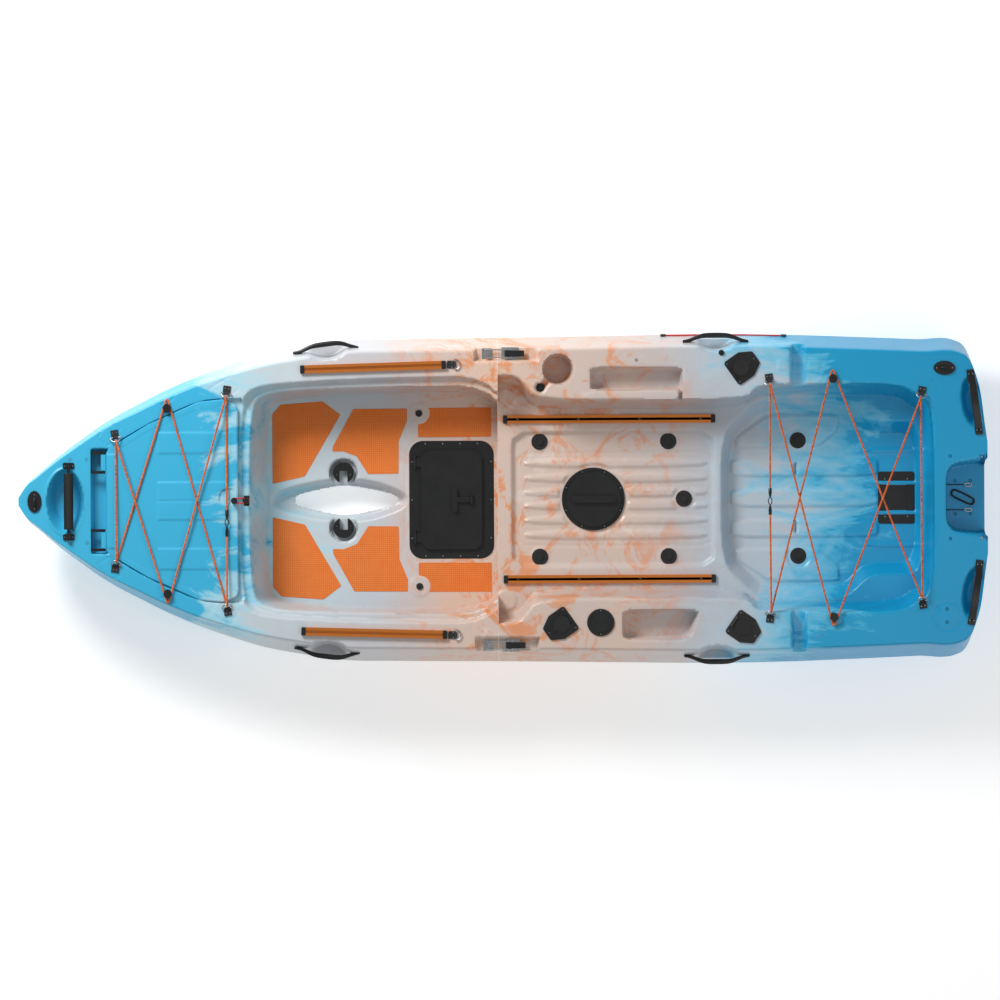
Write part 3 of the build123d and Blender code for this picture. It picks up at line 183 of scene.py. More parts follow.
def basin(z, mouth, foot_outline, top, floor, edge=8.0, foot=10.0):
    """A pocket whose side runs between a mouth outline and a floor outline."""
    out = np.maximum(-mouth, 0)
    down = np.maximum(foot_outline, 0)
    share = np.where(mouth < 0, out / (out + down + 1e-9), 0)
    side = np.where(mouth < 0, top + (floor - top) * share, top + mouth * 6)
    cut = soft_max(side, np.full_like(z, floor), foot) if foot else side
    return soft_min(z, cut, edge)


def swell(z, d, height, width=6.0):
    """A raised pad: height above the surface inside the outline, falling off across width."""
    t = np.clip(-d / width, 0, 1)
    return z + height * t * t * (3 - 2 * t)


def groove(z, d, depth=2.0, width=3.0):
    """A rounded line cut along an outline."""
    t = np.clip(1 - np.abs(d) / width, 0, 1)
    return z - depth * t * t * (3 - 2 * t)


def turned_box(x, y, cx, cy, length, width, spin):
    """Signed distance from a turned rectangle."""
    c, s = math.cos(math.radians(spin)), math.sin(math.radians(spin))
    u, v = (x - cx) * c + (y - cy) * s, (y - cy) * c - (x - cx) * s
    return np.maximum(np.abs(u) - length / 2, np.abs(v) - width / 2)


def deck_plane(x):
    return GUNWALE_Z + np.maximum(0, SHEER_X - x) * math.tan(SHEER)


def common_shell(x, y):
    """Height of the plain deck with its rounded gunwale."""
    inboard = eased(HALF_BREADTH, x) - np.abs(y)
    wide, deck, lean = at(WIDEST, x), deck_plane(x), at(LEAN, x)
    side = wide + inboard * (deck - wide) / lean
    return soft_min(deck, side, 16.0)


def side_cuts(x, y, z, handle_x):
    handle_y = float(eased(HALF_BREADTH, np.array([handle_x], float))[0])
    for s in (1, -1):
        z = sink(z, ellipse(x, y, handle_x, s * handle_y, 78, 62), 192, 16, 6, 14)
        pocket = distance([(SEAM_X - 75, s * 434), (SEAM_X + 130, s * 434), (SEAM_X + 130, s * 600),
                           (SEAM_X - 75, s * 600)], x, y)
        z = sink(z, pocket, POCKET_Z, 8, 4, 3)
    return z


def bow_heights(x, y):
    z = common_shell(x, y)
    z = side_cuts(x, y, z, -561)
    deck = deck_plane(x)
    z = sink(z, ellipse(x, y, -1378, 0, 58, 102), deck - 70, 22, 6, 14)
    z = swell(z, ellipse(x, y, -1378, 0, 68, 112), 3, 7)
    seat = [(a, b) for a, b in LID[:-1]] + [(-797, 320)]
    mouth = distance(rounded(mirrored(seat), 2), x, y) - 4
    z = sink(z, mouth, deck - 18, 4, 3, 3)
    inner = distance(rounded(mirrored(LID), 2), x, y) + 30
    z = sink(z, inner, deck - 165, 14, 4, 16)
    trough = distance(mirrored([(-1299, 166), (-1244, 166)]), x, y)
    z = sink(z, trough, deck - 45, 8, 4, 6)
    foot_mouth = distance(rounded(mirrored(FOOT_TOP), 3), x, y)
    ledge = distance(rounded(mirrored([(a + 8, b - 8) for a, b in FOOT_TOP]), 3), x, y)
    z = basin(z, foot_mouth, ledge, GUNWALE_Z, LEDGE_Z, 6, 4)
    low_mouth = distance(rounded(mirrored(FOOT_LEDGE), 3), x, y)
    low_floor = distance(rounded(mirrored(FOOT_FLOOR), 3), x, y)
    z = basin(z, low_mouth, low_floor, LEDGE_Z, FLOOR_Z, 8, 12)
    lip = distance(rounded(mirrored(LIP), 2), x, y)
    z = sink(z, lip - 6, FLOOR_Z - 34, 16, 5, 6)
    for s in (1, -1):
        z = sink(z, circle(x, y, -512, s * 88, 47), FLOOR_Z - 26, 7, 4, 4)
    hatch = distance(rounded(mirrored([(-256, 142), (-78, 142)]), 2, 0.12), x, y)
    z = sink(z, hatch, 14, 6, 3, 6)
    frame_pad = distance(rounded(mirrored([(-313, 199), (-22, 199)]), 3, 0.12), x, y)
    z = groove(z, frame_pad, 2.0, 4)
    for s in (1, -1):
        z = swell(z, circle(x, y, -270, s * 276, 36), 2.5, 5)
        z = groove(z, turned_box(x, y, -1242, s * 214, 66, 44, s * 58), 2.2, 3)
        z = groove(z, distance(rounded([(-1096, s * 322), (-1078, s * 300), (-1040, s * 318),
                                        (-1030, s * 350),
                                        (-1085, s * 340)], 1), x, y), 2.2, 3)
        z = groove(z, turned_box(x, y, -882, s * 350, 76, 50, s * 30), 2.2, 3)
    return z


def stern_heights(x, y):
    z = common_shell(x, y)
    z = side_cuts(x, y, z, 671)
    z = sink(z, circle(x, y, 171, 410, 49), 205, 8, 5, 10)
    gutter = distance([(171, 420), (112, 362), (124, 340), (180, 400)], x, y)
    z = sink(z, gutter, 278, 6, 4, 4)
    z = sink(z, circle(x, y, 116, 352, 17), 272, 5, 3, 3)
    z = sink(z, distance(rounded(TRAY_STARBOARD, 2, 0.1), x, y), 238, 12, 5, 8)
    z = sink(z, distance(rounded([(550, 270), (550, 338), (566, 338), (566, 270)], 1), x, y), 262, 6, 3, 4)
    z = sink(z, distance(rounded(TRAY_PORT, 2, 0.12), x, y), 238, 12, 5, 8)
    mouth = distance(rounded(mirrored(DECK_TOP), 2, 0.15), x, y)
    foot = distance(rounded(mirrored(DECK_FLOOR), 2, 0.15), x, y)
    z = basin(z, mouth, foot, GUNWALE_Z, SEAT_Z, 8, 12)
    z = sink(z, distance(rounded(mirrored(PAN), 2, 0.06), x, y), PAN_Z, 9, 4, 4)
    low_mouth = distance(rounded(mirrored(TANK_TOP), 2, 0.15), x, y)
    low_foot = distance(rounded(mirrored(TANK_FLOOR), 2, 0.15), x, y)
    z = basin(z, low_mouth, low_foot, SEAT_Z, TANK_Z, 6, 10)
    z = stern_ribs(x, y, z)
    z = sink(z, distance(rounded(mirrored(NOTCH), 2, 0.12), x, y), NOTCH_Z, 9, 5, 8)
    for s in (1, -1):
        cross = distance([(904, s * 326), (954, s * 326), (954, s * 600), (904, s * 600)], x, y)
        z = sink(z, cross, 264, 9, 5, 6)
        z = stern_quarter(x, y, z, s)
    z = sink(z, circle(x, y, 284, 0, 78), 14, 6, 3, 6)
    z = sink(z, circle(x, y, 303, -389, 29), 60, 5, 3, 6)
    return z


def stern_ribs(x, y, z):
    clear = np.minimum.reduce([circle(x, y, 284, 0, 108), circle(x, y, 572, 0, 34),
                               circle(x, y, 114, 183, 32),
                               circle(x, y, 114, -183, 32), circle(x, y, 523, 183, 32),
                               circle(x, y, 523, -183, 32)])
    for c in RIB_CENTRES:
        bar = distance(rounded([(62, c - 16), (648, c - 16), (648, c + 16), (62, c + 16)], 2, 0.2), x, y)
        z = swell(z, np.maximum(bar, -clear), 6.5, 7)
    inner = distance(rounded(mirrored([(44, 148), (664, 148)]), 2, 0.05), x, y)
    z = groove(z, inner, 2.5, 5)
    for px, py in ((114, 183), (114, -183), (523, 183), (523, -183), (572, 0)):
        z = swell(z, circle(x, y, px, py, 34), 2.5, 5)
    free = np.minimum(circle(x, y, 937, 184, 34), circle(x, y, 937, -184, 34))
    slats = [(720, 1195, a, b) for a, b in ((-128, -66), (-31, 31), (66, 128))]
    for x0, x1, a, b in slats:
        slat = distance(rounded([(x0, a), (x1, a), (x1, b), (x0, b)], 2, 0.12), x, y)
        z = swell(z, slat, 7, 8)
    for s in (1, -1):
        wing = [(735, s * 158), (1000, s * 158), (1070, s * 215), (1070, s * 268), (845, s * 268),
                (735, s * 196)]
        z = swell(z, np.maximum(distance(rounded(wing, 2, 0.1), x, y), -free), 7, 8)
        z = swell(z, circle(x, y, 937, s * 184, 34) , 2.0, 5)
        z = sink(z, distance(rounded([(922, s * 72), (936, s * 72), (936, s * 112), (922, s * 112)], 2),
                             x, y),
                 TANK_Z - 6, 4, 3, 3)
    for c in (-150, -48, 48, 150):
        step = distance(rounded([(1150, c - 9), (1338, c - 9), (1338, c + 9), (1150, c + 9)], 1, 0.2), x, y)
        z = swell(z, step, 5, 6)
    return z


def stern_quarter(x, y, z, s):
    """Finger well of the stern strap, the round mark or eye pad, and the insert pads of one side."""
    lean = math.radians(8 * s)
    dx, dy = x - 1476, y - s * 300
    u, v = dx * math.cos(lean) + dy * math.sin(lean), dy * math.cos(lean) - dx * math.sin(lean)
    z = sink(z, ellipse(u, v, 0, 0, 32, 80), 250, 16, 6, 12)
    for a, b in ((862, 897), (961, 998)):
        z = swell(z, distance(rounded([(a, s * 402), (b, s * 402), (b, s * 440), (a, s * 440)], 1, 0.15),
                              x, y), 2.5, 4)
    guide = [(1000, s * 358), (1078, s * 358), (1058, s * 398), (1020, s * 398)]
    z = groove(z, distance(guide, x, y), 2.4, 3.5)
    z = groove(z, turned_box(x, y, 1334, s * 346, 62, 46, s * 42), 2.2, 3)
    if s < 0:
        z = groove(z, circle(x, y, 1394, -373, 44), 2.4, 3.5)
    seat_foot = np.maximum(circle(x, y, 6, s * 320, 36), x - 60)
    return swell(z, seat_foot, 4.0, 6)


def bottom_heights(x, y):
    half = np.maximum(eased(HALF_BREADTH, x), 1)
    keel, wide = at(KEEL, x), at(WIDEST, x)
    t = np.clip(np.abs(y) / half, 0, 1)
    rise = np.where(t < 0.6, 0.0, ((t - 0.6) / 0.4) ** 2.6)
    z = keel + (wide - keel) * rise
    tunnel = (np.exp(-((np.abs(y) - 150) / 42) ** 2) * np.clip((x + 1200) / 300, 0, 1)
              * np.clip((1450 - x) / 200, 0, 1))
    return z + 12 * tunnel * (t < 0.62)


def slot_distance(x, y):
    return distance(rounded(mirrored(SLOT), 2, 0.2), x, y)


def snap(x, y, fields, reach):
    """Moves lattice points that lie close to an outline onto it, so that edges run true."""
    free = np.ones(x.shape, bool)
    e = 0.5
    for field in fields:
        d = field(x, y)
        gx = (field(x + e, y) - field(x - e, y)) / (2 * e)
        gy = (field(x, y + e) - field(x, y - e)) / (2 * e)
        g = np.hypot(gx, gy) + 1e-9
        near = (np.abs(d) < reach) & free & (g > 0.5)
        near[0, :] = near[-1, :] = near[:, 0] = near[:, -1] = False
        x = np.where(near, x - d * gx / g ** 2, x)
        y = np.where(near, y - d * gy / g ** 2, y)
        free &= ~near
    return x, y


def snap_fields(section):
    if section == "bow":
        outlines = [rounded(mirrored(SLOT), 2, 0.2), rounded(mirrored(FOOT_TOP), 3),
                    rounded(mirrored(FOOT_FLOOR), 3),
                    rounded(mirrored(FOOT_LEDGE), 3), rounded(mirrored(LIP), 2)]
    else:
        outlines = [rounded(mirrored(DECK_TOP), 2, 0.15), rounded(mirrored(NOTCH), 2, 0.12),
                    rounded(TRAY_STARBOARD, 2, 0.1), rounded(TRAY_PORT, 2, 0.12),
                    rounded(mirrored(DECK_FLOOR), 2, 0.15), rounded(mirrored(TANK_TOP), 2, 0.15)]
    fields = [lambda x, y, o=o: distance(o, x, y) for o in outlines]
    if section == "bow":
        seat = LID[:-1] + [(-797, 320)]
        fields.insert(1, lambda x, y: distance(rounded(mirrored(seat), 2), x, y) - 4)
        fields.append(lambda x, y: circle(x, y, -512, np.sign(y) * 88, 47))
    else:
        fields.insert(0, lambda x, y: circle(x, y, 171, 410, 49))
    return fields


def hull_mesh(section, step):
    """One section's shell: deck and bottom on one lattice, joined at the outline, the slot and the ends."""
    x0, x1 = (-1524.0, SEAM_X - SEAM_GAP / 2) if section == "bow" else (SEAM_X + SEAM_GAP / 2, 1524.0)
    rows = int(round((x1 - x0) / step))
    along = np.linspace(x0, x1, rows + 1)
    if section == "bow":
        along[:4] = x0 + (along[:4] - x0) * 0.75
    count = int(round(1040 / (step * 1.03) / 2)) * 2
    v = np.linspace(-1, 1, count + 1)
    v = np.sign(v) * (1 - (1 - np.abs(v)) ** 1.12)
    x, vv = np.meshgrid(along, v, indexing="ij")
    y = eased(HALF_BREADTH, x) * vv
    x, y = snap(x, y, snap_fields(section), step * 0.48)
    top = (bow_heights if section == "bow" else stern_heights)(x, y)
    low = bottom_heights(x, y)
    edge = at(WIDEST, x)
    top[:, 0] = top[:, -1] = low[:, 0] = low[:, -1] = 0
    top[:, 0], top[:, -1], low[:, 0], low[:, -1] = edge[:, 0], edge[:, -1], edge[:, 0], edge[:, -1]
    top = np.maximum(top, low + 2.0)
    top[:, 0], top[:, -1] = edge[:, 0], edge[:, -1]
    nx, ny = x.shape
    up = np.stack([x, y, top], axis=-1).reshape(-1, 3)
    down = np.stack([x, y, low], axis=-1).reshape(-1, 3)
    index = np.arange(nx * ny).reshape(nx, ny)
    under = index + nx * ny
    under[:, 0], under[:, -1] = index[:, 0], index[:, -1]
    keep = np.ones((nx - 1, ny - 1), bool)
    if section == "bow":
        cx = (x[:-1, :-1] + x[1:, 1:]) / 2
        cy = (y[:-1, :-1] + y[1:, 1:]) / 2
        keep = slot_distance(cx, cy) > 0
    a, b, c, d = index[:-1, :-1], index[1:, :-1], index[1:, 1:], index[:-1, 1:]
    faces = np.stack([a, b, c, d], axis=-1)[keep].tolist()
    a, b, c, d = under[:-1, :-1], under[1:, :-1], under[1:, 1:], under[:-1, 1:]
    faces += np.stack([a, d, c, b], axis=-1)[keep].tolist()
    faces += hole_walls(index, under, keep)
    for i in (0, nx - 1):
        for j in range(ny - 1):
            quad = [index[i, j], under[i, j], under[i, j + 1], index[i, j + 1]]
            quad = list(dict.fromkeys(int(q) for q in (quad if i else reversed(quad))))
            if len(quad) > 2:
                faces.append(quad)
    mesh = bpy.data.meshes.new(section + "_shell")
    mesh.from_pydata((np.concatenate([up, down]) * MM).tolist(), [], faces)
    return mesh


def hole_walls(index, under, keep):
    """Upright walls round the lattice cells left out for the drive slot."""
    faces = []
    nx, ny = keep.shape
    for i, j in np.argwhere(~keep):
        if i > 0 and keep[i - 1, j]:
            faces.append([index[i, j], index[i, j + 1], under[i, j + 1], under[i, j]])
        if i < nx - 1 and keep[i + 1, j]:
            faces.append([index[i + 1, j + 1], index[i + 1, j], under[i + 1, j], under[i + 1, j + 1]])
        if j > 0 and keep[i, j - 1]:
            faces.append([index[i + 1, j], index[i, j], under[i, j], under[i + 1, j]])
        if j < ny - 1 and keep[i, j + 1]:
            faces.append([index[i, j + 1], index[i + 1, j + 1], under[i + 1, j + 1], under[i, j + 1]])
    return [[int(k) for k in f] for f in faces]


# ---- shader building -------------------------------------------------------------------
def node(tree, kind, **values):
    n = tree.nodes.new(kind)
    for key, value in values.items():
        setattr(n, key, value)
    return n


def link(tree, a, b):
    tree.links.new(a, b)


def math_node(tree, operation, a, b=None, c=None):
    n = node(tree, "ShaderNodeMath", operation=operation)
    for i, value in enumerate((a, b, c)):
        if value is None:
            continue
        if isinstance(value, (int, float)):
            n.inputs[i].default_value = value
        else:
            link(tree, value, n.inputs[i])
    return n.outputs[0]


def noise(tree, vector, scale, detail=4.0, rough=0.55, distortion=0.0):
    n = node(tree, "ShaderNodeTexNoise")
    n.inputs["Scale"].default_value = scale
    n.inputs["Detail"].default_value = detail
    n.inputs["Roughness"].default_value = rough
    n.inputs["Distortion"].default_value = distortion
    link(tree, vector, n.inputs["Vector"])
    return n.outputs["Fac"]


def ramp(tree, value, stops):
    n = node(tree, "ShaderNodeValToRGB")
    e = n.color_ramp.elements
    while len(e) < len(stops):
        e.new(0.5)
    for item, (place, colour) in zip(e, stops):
        item.position = place
        item.color = (*colour, 1)
    link(tree, value, n.inputs["Fac"])
    return n.outputs["Color"]


def mix(tree, factor, a, b, kind="MIX"):
    n = node(tree, "ShaderNodeMix", data_type="RGBA", blend_type=kind)
    for socket, value in ((n.inputs[0], factor), (n.inputs[6], a), (n.inputs[7], b)):
        if isinstance(value, (int, float)):
            socket.default_value = value
        elif isinstance(value, tuple):
            socket.default_value = (*value, 1)
        else:
            link(tree, value, socket)
    return n.outputs[2]


def srgb(text):
    """A linear colour from an sRGB hex triple."""
    parts = [int(text[i:i + 2], 16) / 255 for i in (0, 2, 4)]
    return tuple(p / 12.92 if p <= 0.04045 else ((p + 0.055) / 1.055) ** 2.4 for p in parts)


def new_material(name):
    m = bpy.data.materials.new(name)
    m.use_nodes = True
    tree = m.node_tree
    return m, tree, tree.nodes["Principled BSDF"]


def coords(tree):
    return node(tree, "ShaderNodeTexCoord").outputs["Object"]


def group_socket(tree, name, way, kind, value=None):
    s = tree.interface.new_socket(name=name, in_out=way, socket_type=kind)
    if value is not None:
        s.default_value = value
    return s


def make_grain_group():
    """Fine moulded grain: a height and a slight roughness change, from Object coordinates."""
    g = bpy.data.node_groups.new("Moulded grain", "ShaderNodeTree")
    group_socket(g, "Vector", "INPUT", "NodeSocketVector")
    group_socket(g, "Scale", "INPUT", "NodeSocketFloat", 900.0)
    group_socket(g, "Roughness", "INPUT", "NodeSocketFloat", 0.4)
    group_socket(g, "Spread", "INPUT", "NodeSocketFloat", 0.12)
    group_socket(g, "Height", "OUTPUT", "NodeSocketFloat")
    group_socket(g, "Roughness", "OUTPUT", "NodeSocketFloat")
    inp, out = node(g, "NodeGroupInput"), node(g, "NodeGroupOutput")
    n = node(g, "ShaderNodeTexNoise")
    n.inputs["Detail"].default_value = 3
    link(g, inp.outputs["Vector"], n.inputs["Vector"])
    link(g, inp.outputs["Scale"], n.inputs["Scale"])
    link(g, n.outputs["Fac"], out.inputs["Height"])
    big = noise(g, inp.outputs["Vector"], 14.0, 5)
    centred = math_node(g, "SUBTRACT", big, 0.5)
    spread = math_node(g, "MULTIPLY", centred, inp.outputs["Spread"])
    link(g, math_node(g, "ADD", spread, inp.outputs["Roughness"]), out.inputs["Roughness"])
    return g


def make_weave_group():
    """Over-and-under weave of two thread directions: a height, and a mask of the gaps that the foam and
    webbing darken as painted shade.
    """
    g = bpy.data.node_groups.new("Grid weave", "ShaderNodeTree")
    group_socket(g, "Vector", "INPUT", "NodeSocketVector")
    group_socket(g, "Pitch", "INPUT", "NodeSocketFloat", 0.004)
    group_socket(g, "Height", "OUTPUT", "NodeSocketFloat")
    group_socket(g, "Gap", "OUTPUT", "NodeSocketFloat")
    inp, out = node(g, "NodeGroupInput"), node(g, "NodeGroupOutput")
    split = node(g, "ShaderNodeSeparateXYZ")
    link(g, inp.outputs["Vector"], split.inputs[0])
    waves = []
    for axis in ("X", "Y"):
        turn = math_node(g, "DIVIDE", split.outputs[axis], inp.outputs["Pitch"])
        wave = math_node(g, "SINE", math_node(g, "MULTIPLY", turn, math.pi))
        waves.append(math_node(g, "ABSOLUTE", wave))
    height = math_node(g, "MULTIPLY", waves[0], waves[1])
    link(g, height, out.inputs["Height"])
    gap = math_node(g, "SUBTRACT", 1.0, math_node(g, "SMOOTH_MIN", waves[0], waves[1], 0.1))
    link(g, math_node(g, "POWER", gap, 3.0), out.inputs["Gap"])
    return g


def use_group(tree, group, **values):
    n = node(tree, "ShaderNodeGroup", node_tree=group)
    for key, value in values.items():
        if isinstance(value, (int, float)):
            n.inputs[key].default_value = value
        else:
            link(tree, value, n.inputs[key])
    return n


def bump(tree, bsdf, height, strength, depth):
    n = node(tree, "ShaderNodeBump")
    n.inputs["Strength"].default_value = strength
    n.inputs["Distance"].default_value = depth
    link(tree, height, n.inputs["Height"])
    link(tree, n.outputs["Normal"], bsdf.inputs["Normal"])
    return n


def plain(name, colour, rough, grain=700.0, depth=0.0004, strength=0.35, metallic=0.0, vary=0.12):
    """A moulded or coated finish: slightly uneven colour and gloss over a fine grain."""
    m, tree, bsdf = new_material(name)
    where = coords(tree)
    dull = tuple(c * (1 - vary) for c in colour)
    lit = tuple(min(1, c * (1 + vary) + 0.004) for c in colour)
    patch = noise(tree, where, 22.0, 6)
    link(tree, mix(tree, patch, dull, lit), bsdf.inputs["Base Color"])
    g = use_group(tree, bpy.data.node_groups["Moulded grain"], Vector=where, Scale=grain, Roughness=rough,
                  Spread=0.16)
    link(tree, g.outputs["Roughness"], bsdf.inputs["Roughness"])
    bump(tree, bsdf, g.outputs["Height"], strength, depth)
    bsdf.inputs["Metallic"].default_value = metallic
    return m


def hull_material(name):
    """Moulded polyethylene with its pigments swirled: blue ends, a pale middle and orange streaks."""
    m, tree, bsdf = new_material(name)
    where = coords(tree)
    split = node(tree, "ShaderNodeSeparateXYZ")
    link(tree, where, split.inputs[0])
    x = split.outputs["X"]
    flow = node(tree, "ShaderNodeMapping")
    flow.inputs["Scale"].default_value = (1.0, 2.4, 2.0)
    link(tree, where, flow.inputs["Vector"])
    wisps = noise(tree, flow.outputs[0], 2.3, 8, 0.64, 1.6)
    fine = noise(tree, flow.outputs[0], 11.0, 8, 0.7, 1.2)
    swirl = math_node(tree, "ADD", math_node(tree, "MULTIPLY", wisps, 0.8),
                      math_node(tree, "MULTIPLY", fine, 0.2))
    drift = math_node(tree, "MULTIPLY", math_node(tree, "SUBTRACT", swirl, 0.5), 1.05)
    outboard = math_node(tree, "MAXIMUM", math_node(tree, "SUBTRACT",
                                                    math_node(tree, "ABSOLUTE", split.outputs["Y"]),
                                                    0.26), 0.0)
    shifted = math_node(tree, "ADD", math_node(tree, "ADD", x, drift),
                        math_node(tree, "MULTIPLY", outboard, 0.9))
    place = math_node(tree, "DIVIDE", math_node(tree, "ADD", shifted, 1.6), 3.2)
    base = ramp(tree, place, [
        (0.0, srgb("3DB2D9")), (0.222, srgb("37AFD8")), (0.238, srgb("8CCBE2")), (0.262, srgb("A9D6E6")),
        (0.30, srgb("C2D0D6")), (0.40, srgb("C4C5C9")), (0.55, srgb("C6C0BE")), (0.70, srgb("BDC0C6")),
        (0.765, srgb("BCCBD6")), (0.80, srgb("8CC9E3")), (0.845, srgb("4DB9DF")), (0.86, srgb("139FCF")),
        (1.0, srgb("0E9BCD"))])
    blush_map = node(tree, "ShaderNodeMapping")
    blush_map.inputs["Location"].default_value = (3.1, 0.4, 0.0)
    link(tree, where, blush_map.inputs["Vector"])
    station = math_node(tree, "DIVIDE", math_node(tree, "ADD", x, 1.6), 3.2)
    warm_zone = ramp(tree, station, [
        (0.0, (0, 0, 0)), (0.375, (0, 0, 0)), (0.44, (0.75, 0.75, 0.75)), (0.49, (1, 1, 1)),
        (0.56, (0.75, 0.75, 0.75)),
        (0.62, (0.8, 0.8, 0.8)), (0.66, (0.5, 0.5, 0.5)), (0.70, (0, 0, 0)), (1.0, (0, 0, 0))])
    haze = math_node(tree, "MULTIPLY", noise(tree, blush_map.outputs[0], 1.9, 4, 0.5, 0.6), 1.25)
    blushed = mix(tree, math_node(tree, "MULTIPLY", haze, warm_zone), base, srgb("E6BFA3"))
    stain = noise(tree, blush_map.outputs[0], 5.2, 11, 0.72, 2.4)
    mask = ramp(tree, stain, [(0.0, (0, 0, 0)), (0.515, (0, 0, 0)), (0.585, (0.75, 0.75, 0.75)),
                              (1.0, (1, 1, 1))])
    streaked = mix(tree, math_node(tree, "MULTIPLY", mask, warm_zone), blushed, srgb("E4863F"))
    pale = noise(tree, blush_map.outputs[0], 3.1, 9, 0.66, 1.8)
    blots = ramp(tree, pale, [(0.0, (0, 0, 0)), (0.60, (0, 0, 0)), (0.66, (0.55, 0.55, 0.55)),
                              (1.0, (0.7, 0.7, 0.7))])
    link(tree, mix(tree, math_node(tree, "MULTIPLY", blots, warm_zone), streaked, srgb("E6DAD3")),
         bsdf.inputs["Base Color"])
    g = use_group(tree, bpy.data.node_groups["Moulded grain"], Vector=where, Scale=850.0, Roughness=0.34,
                  Spread=0.14)
    link(tree, g.outputs["Roughness"], bsdf.inputs["Roughness"])
    bump(tree, bsdf, g.outputs["Height"], 0.22, 0.0004)
    return m


def foam_material():
    m, tree, bsdf = new_material("Orange foam deck pad")
    where = coords(tree)
    w = use_group(tree, bpy.data.node_groups["Grid weave"], Vector=where, Pitch=0.0062)
    patch = noise(tree, where, 30.0, 6)
    base = mix(tree, patch, srgb("E9762A"), srgb("F58A3C"))
    # painted shade: the weave's gaps are darkened towards a deeper orange
    gap = math_node(tree, "MULTIPLY", w.outputs["Gap"], 0.75)
    link(tree, mix(tree, gap, base, srgb("B04F14")), bsdf.inputs["Base Color"])
    bsdf.inputs["Roughness"].default_value = 0.85
    bsdf.inputs["Sheen Weight"].default_value = 0.15
    bump(tree, bsdf, w.outputs["Height"], 0.6, 0.0012)
    return m


def braid_material(name, base, fleck, dark_fleck_and_shade, pitch=0.0042):
    """Braided cord: slanting strands with flecks, and painted shade between the strands, along the cord's own
    UV.
    """
    m, tree, bsdf = new_material(name)
    uv = node(tree, "ShaderNodeUVMap", uv_map="UVMap").outputs[0]
    split = node(tree, "ShaderNodeSeparateXYZ")
    link(tree, uv, split.inputs[0])
    run, turn = split.outputs["X"], split.outputs["Y"]
    waves = []
    for sign in (1, -1):
        slant = math_node(tree, "ADD", math_node(tree, "DIVIDE", run, pitch),
                          math_node(tree, "MULTIPLY", turn, 3.0 * sign))
        waves.append(math_node(tree, "ABSOLUTE",
                               math_node(tree, "SINE", math_node(tree, "MULTIPLY", slant, math.pi))))
    height = math_node(tree, "MULTIPLY", waves[0], waves[1])
    cells = node(tree, "ShaderNodeCombineXYZ")
    link(tree, math_node(tree, "FLOOR", math_node(tree, "DIVIDE", run, pitch * 0.9)), cells.inputs[0])
    link(tree, math_node(tree, "FLOOR", math_node(tree, "MULTIPLY", turn, 6)), cells.inputs[1])
    white = node(tree, "ShaderNodeTexWhiteNoise", noise_dimensions="3D")
    link(tree, cells.outputs[0], white.inputs["Vector"])
    pick = ramp(tree, white.outputs["Value"], [(0.0, base), (0.70, base), (0.705, fleck), (0.86, fleck),
                                               (0.865, dark_fleck_and_shade)])
    pick.node.color_ramp.interpolation = "CONSTANT"
    # painted shade: darker between the strands, where their height falls off, in the dark fleck colour
    low = mix(tree, math_node(tree, "POWER", math_node(tree, "SUBTRACT", 1.0, height), 4.0), pick, dark_fleck_and_shade)
    link(tree, low, bsdf.inputs["Base Color"])
    bsdf.inputs["Roughness"].default_value = 0.75
    bsdf.inputs["Sheen Weight"].default_value = 0.2
    bump(tree, bsdf, height, 0.7, 0.0006)
    return m


def steel_material():
    m, tree, bsdf = new_material("Brushed stainless steel")
    where = coords(tree)
    stretch = node(tree, "ShaderNodeMapping")
    stretch.inputs["Scale"].default_value = (1, 14, 1)
    link(tree, where, stretch.inputs["Vector"])
    brush = noise(tree, stretch.outputs[0], 900.0, 3)
    link(tree, mix(tree, brush, srgb("A9ABAD"), srgb("D4D6D8")), bsdf.inputs["Base Color"])
    bsdf.inputs["Metallic"].default_value = 1.0
    rough = math_node(tree, "ADD", math_node(tree, "MULTIPLY", brush, 0.2), 0.2)
    link(tree, rough, bsdf.inputs["Roughness"])
    bump(tree, bsdf, brush, 0.12, 0.0001)
    return m


def rail_material():
    """Orange anodised aluminium with fine draw lines along the track."""
    m, tree, bsdf = new_material("Orange anodised track")
    where = coords(tree)
    stretch = node(tree, "ShaderNodeMapping")
    stretch.inputs["Scale"].default_value = (0.3, 30, 30)
    link(tree, where, stretch.inputs["Vector"])
    lines = noise(tree, stretch.outputs[0], 160.0, 3)
    link(tree, mix(tree, lines, srgb("D9762B"), srgb("F49A4E")), bsdf.inputs["Base Color"])
    bsdf.inputs["Metallic"].default_value = 0.85
    rough = math_node(tree, "ADD", math_node(tree, "MULTIPLY", lines, 0.22), 0.24)
    link(tree, rough, bsdf.inputs["Roughness"])
    bump(tree, bsdf, lines, 0.15, 0.0001)
    return m


def webbing_material():
    m, tree, bsdf = new_material("Black webbing")
    where = coords(tree)
    w = use_group(tree, bpy.data.node_groups["Grid weave"], Vector=where, Pitch=0.0016)
    # painted shade: the weave's gaps are darkened from dark grey towards near black
    link(tree, mix(tree, w.outputs["Gap"], srgb("242527"), srgb("0B0B0C")), bsdf.inputs["Base Color"])
    bsdf.inputs["Roughness"].default_value = 0.8
    bsdf.inputs["Sheen Weight"].default_value = 0.25
    bump(tree, bsdf, w.outputs["Height"], 0.6, 0.0006)
    return m


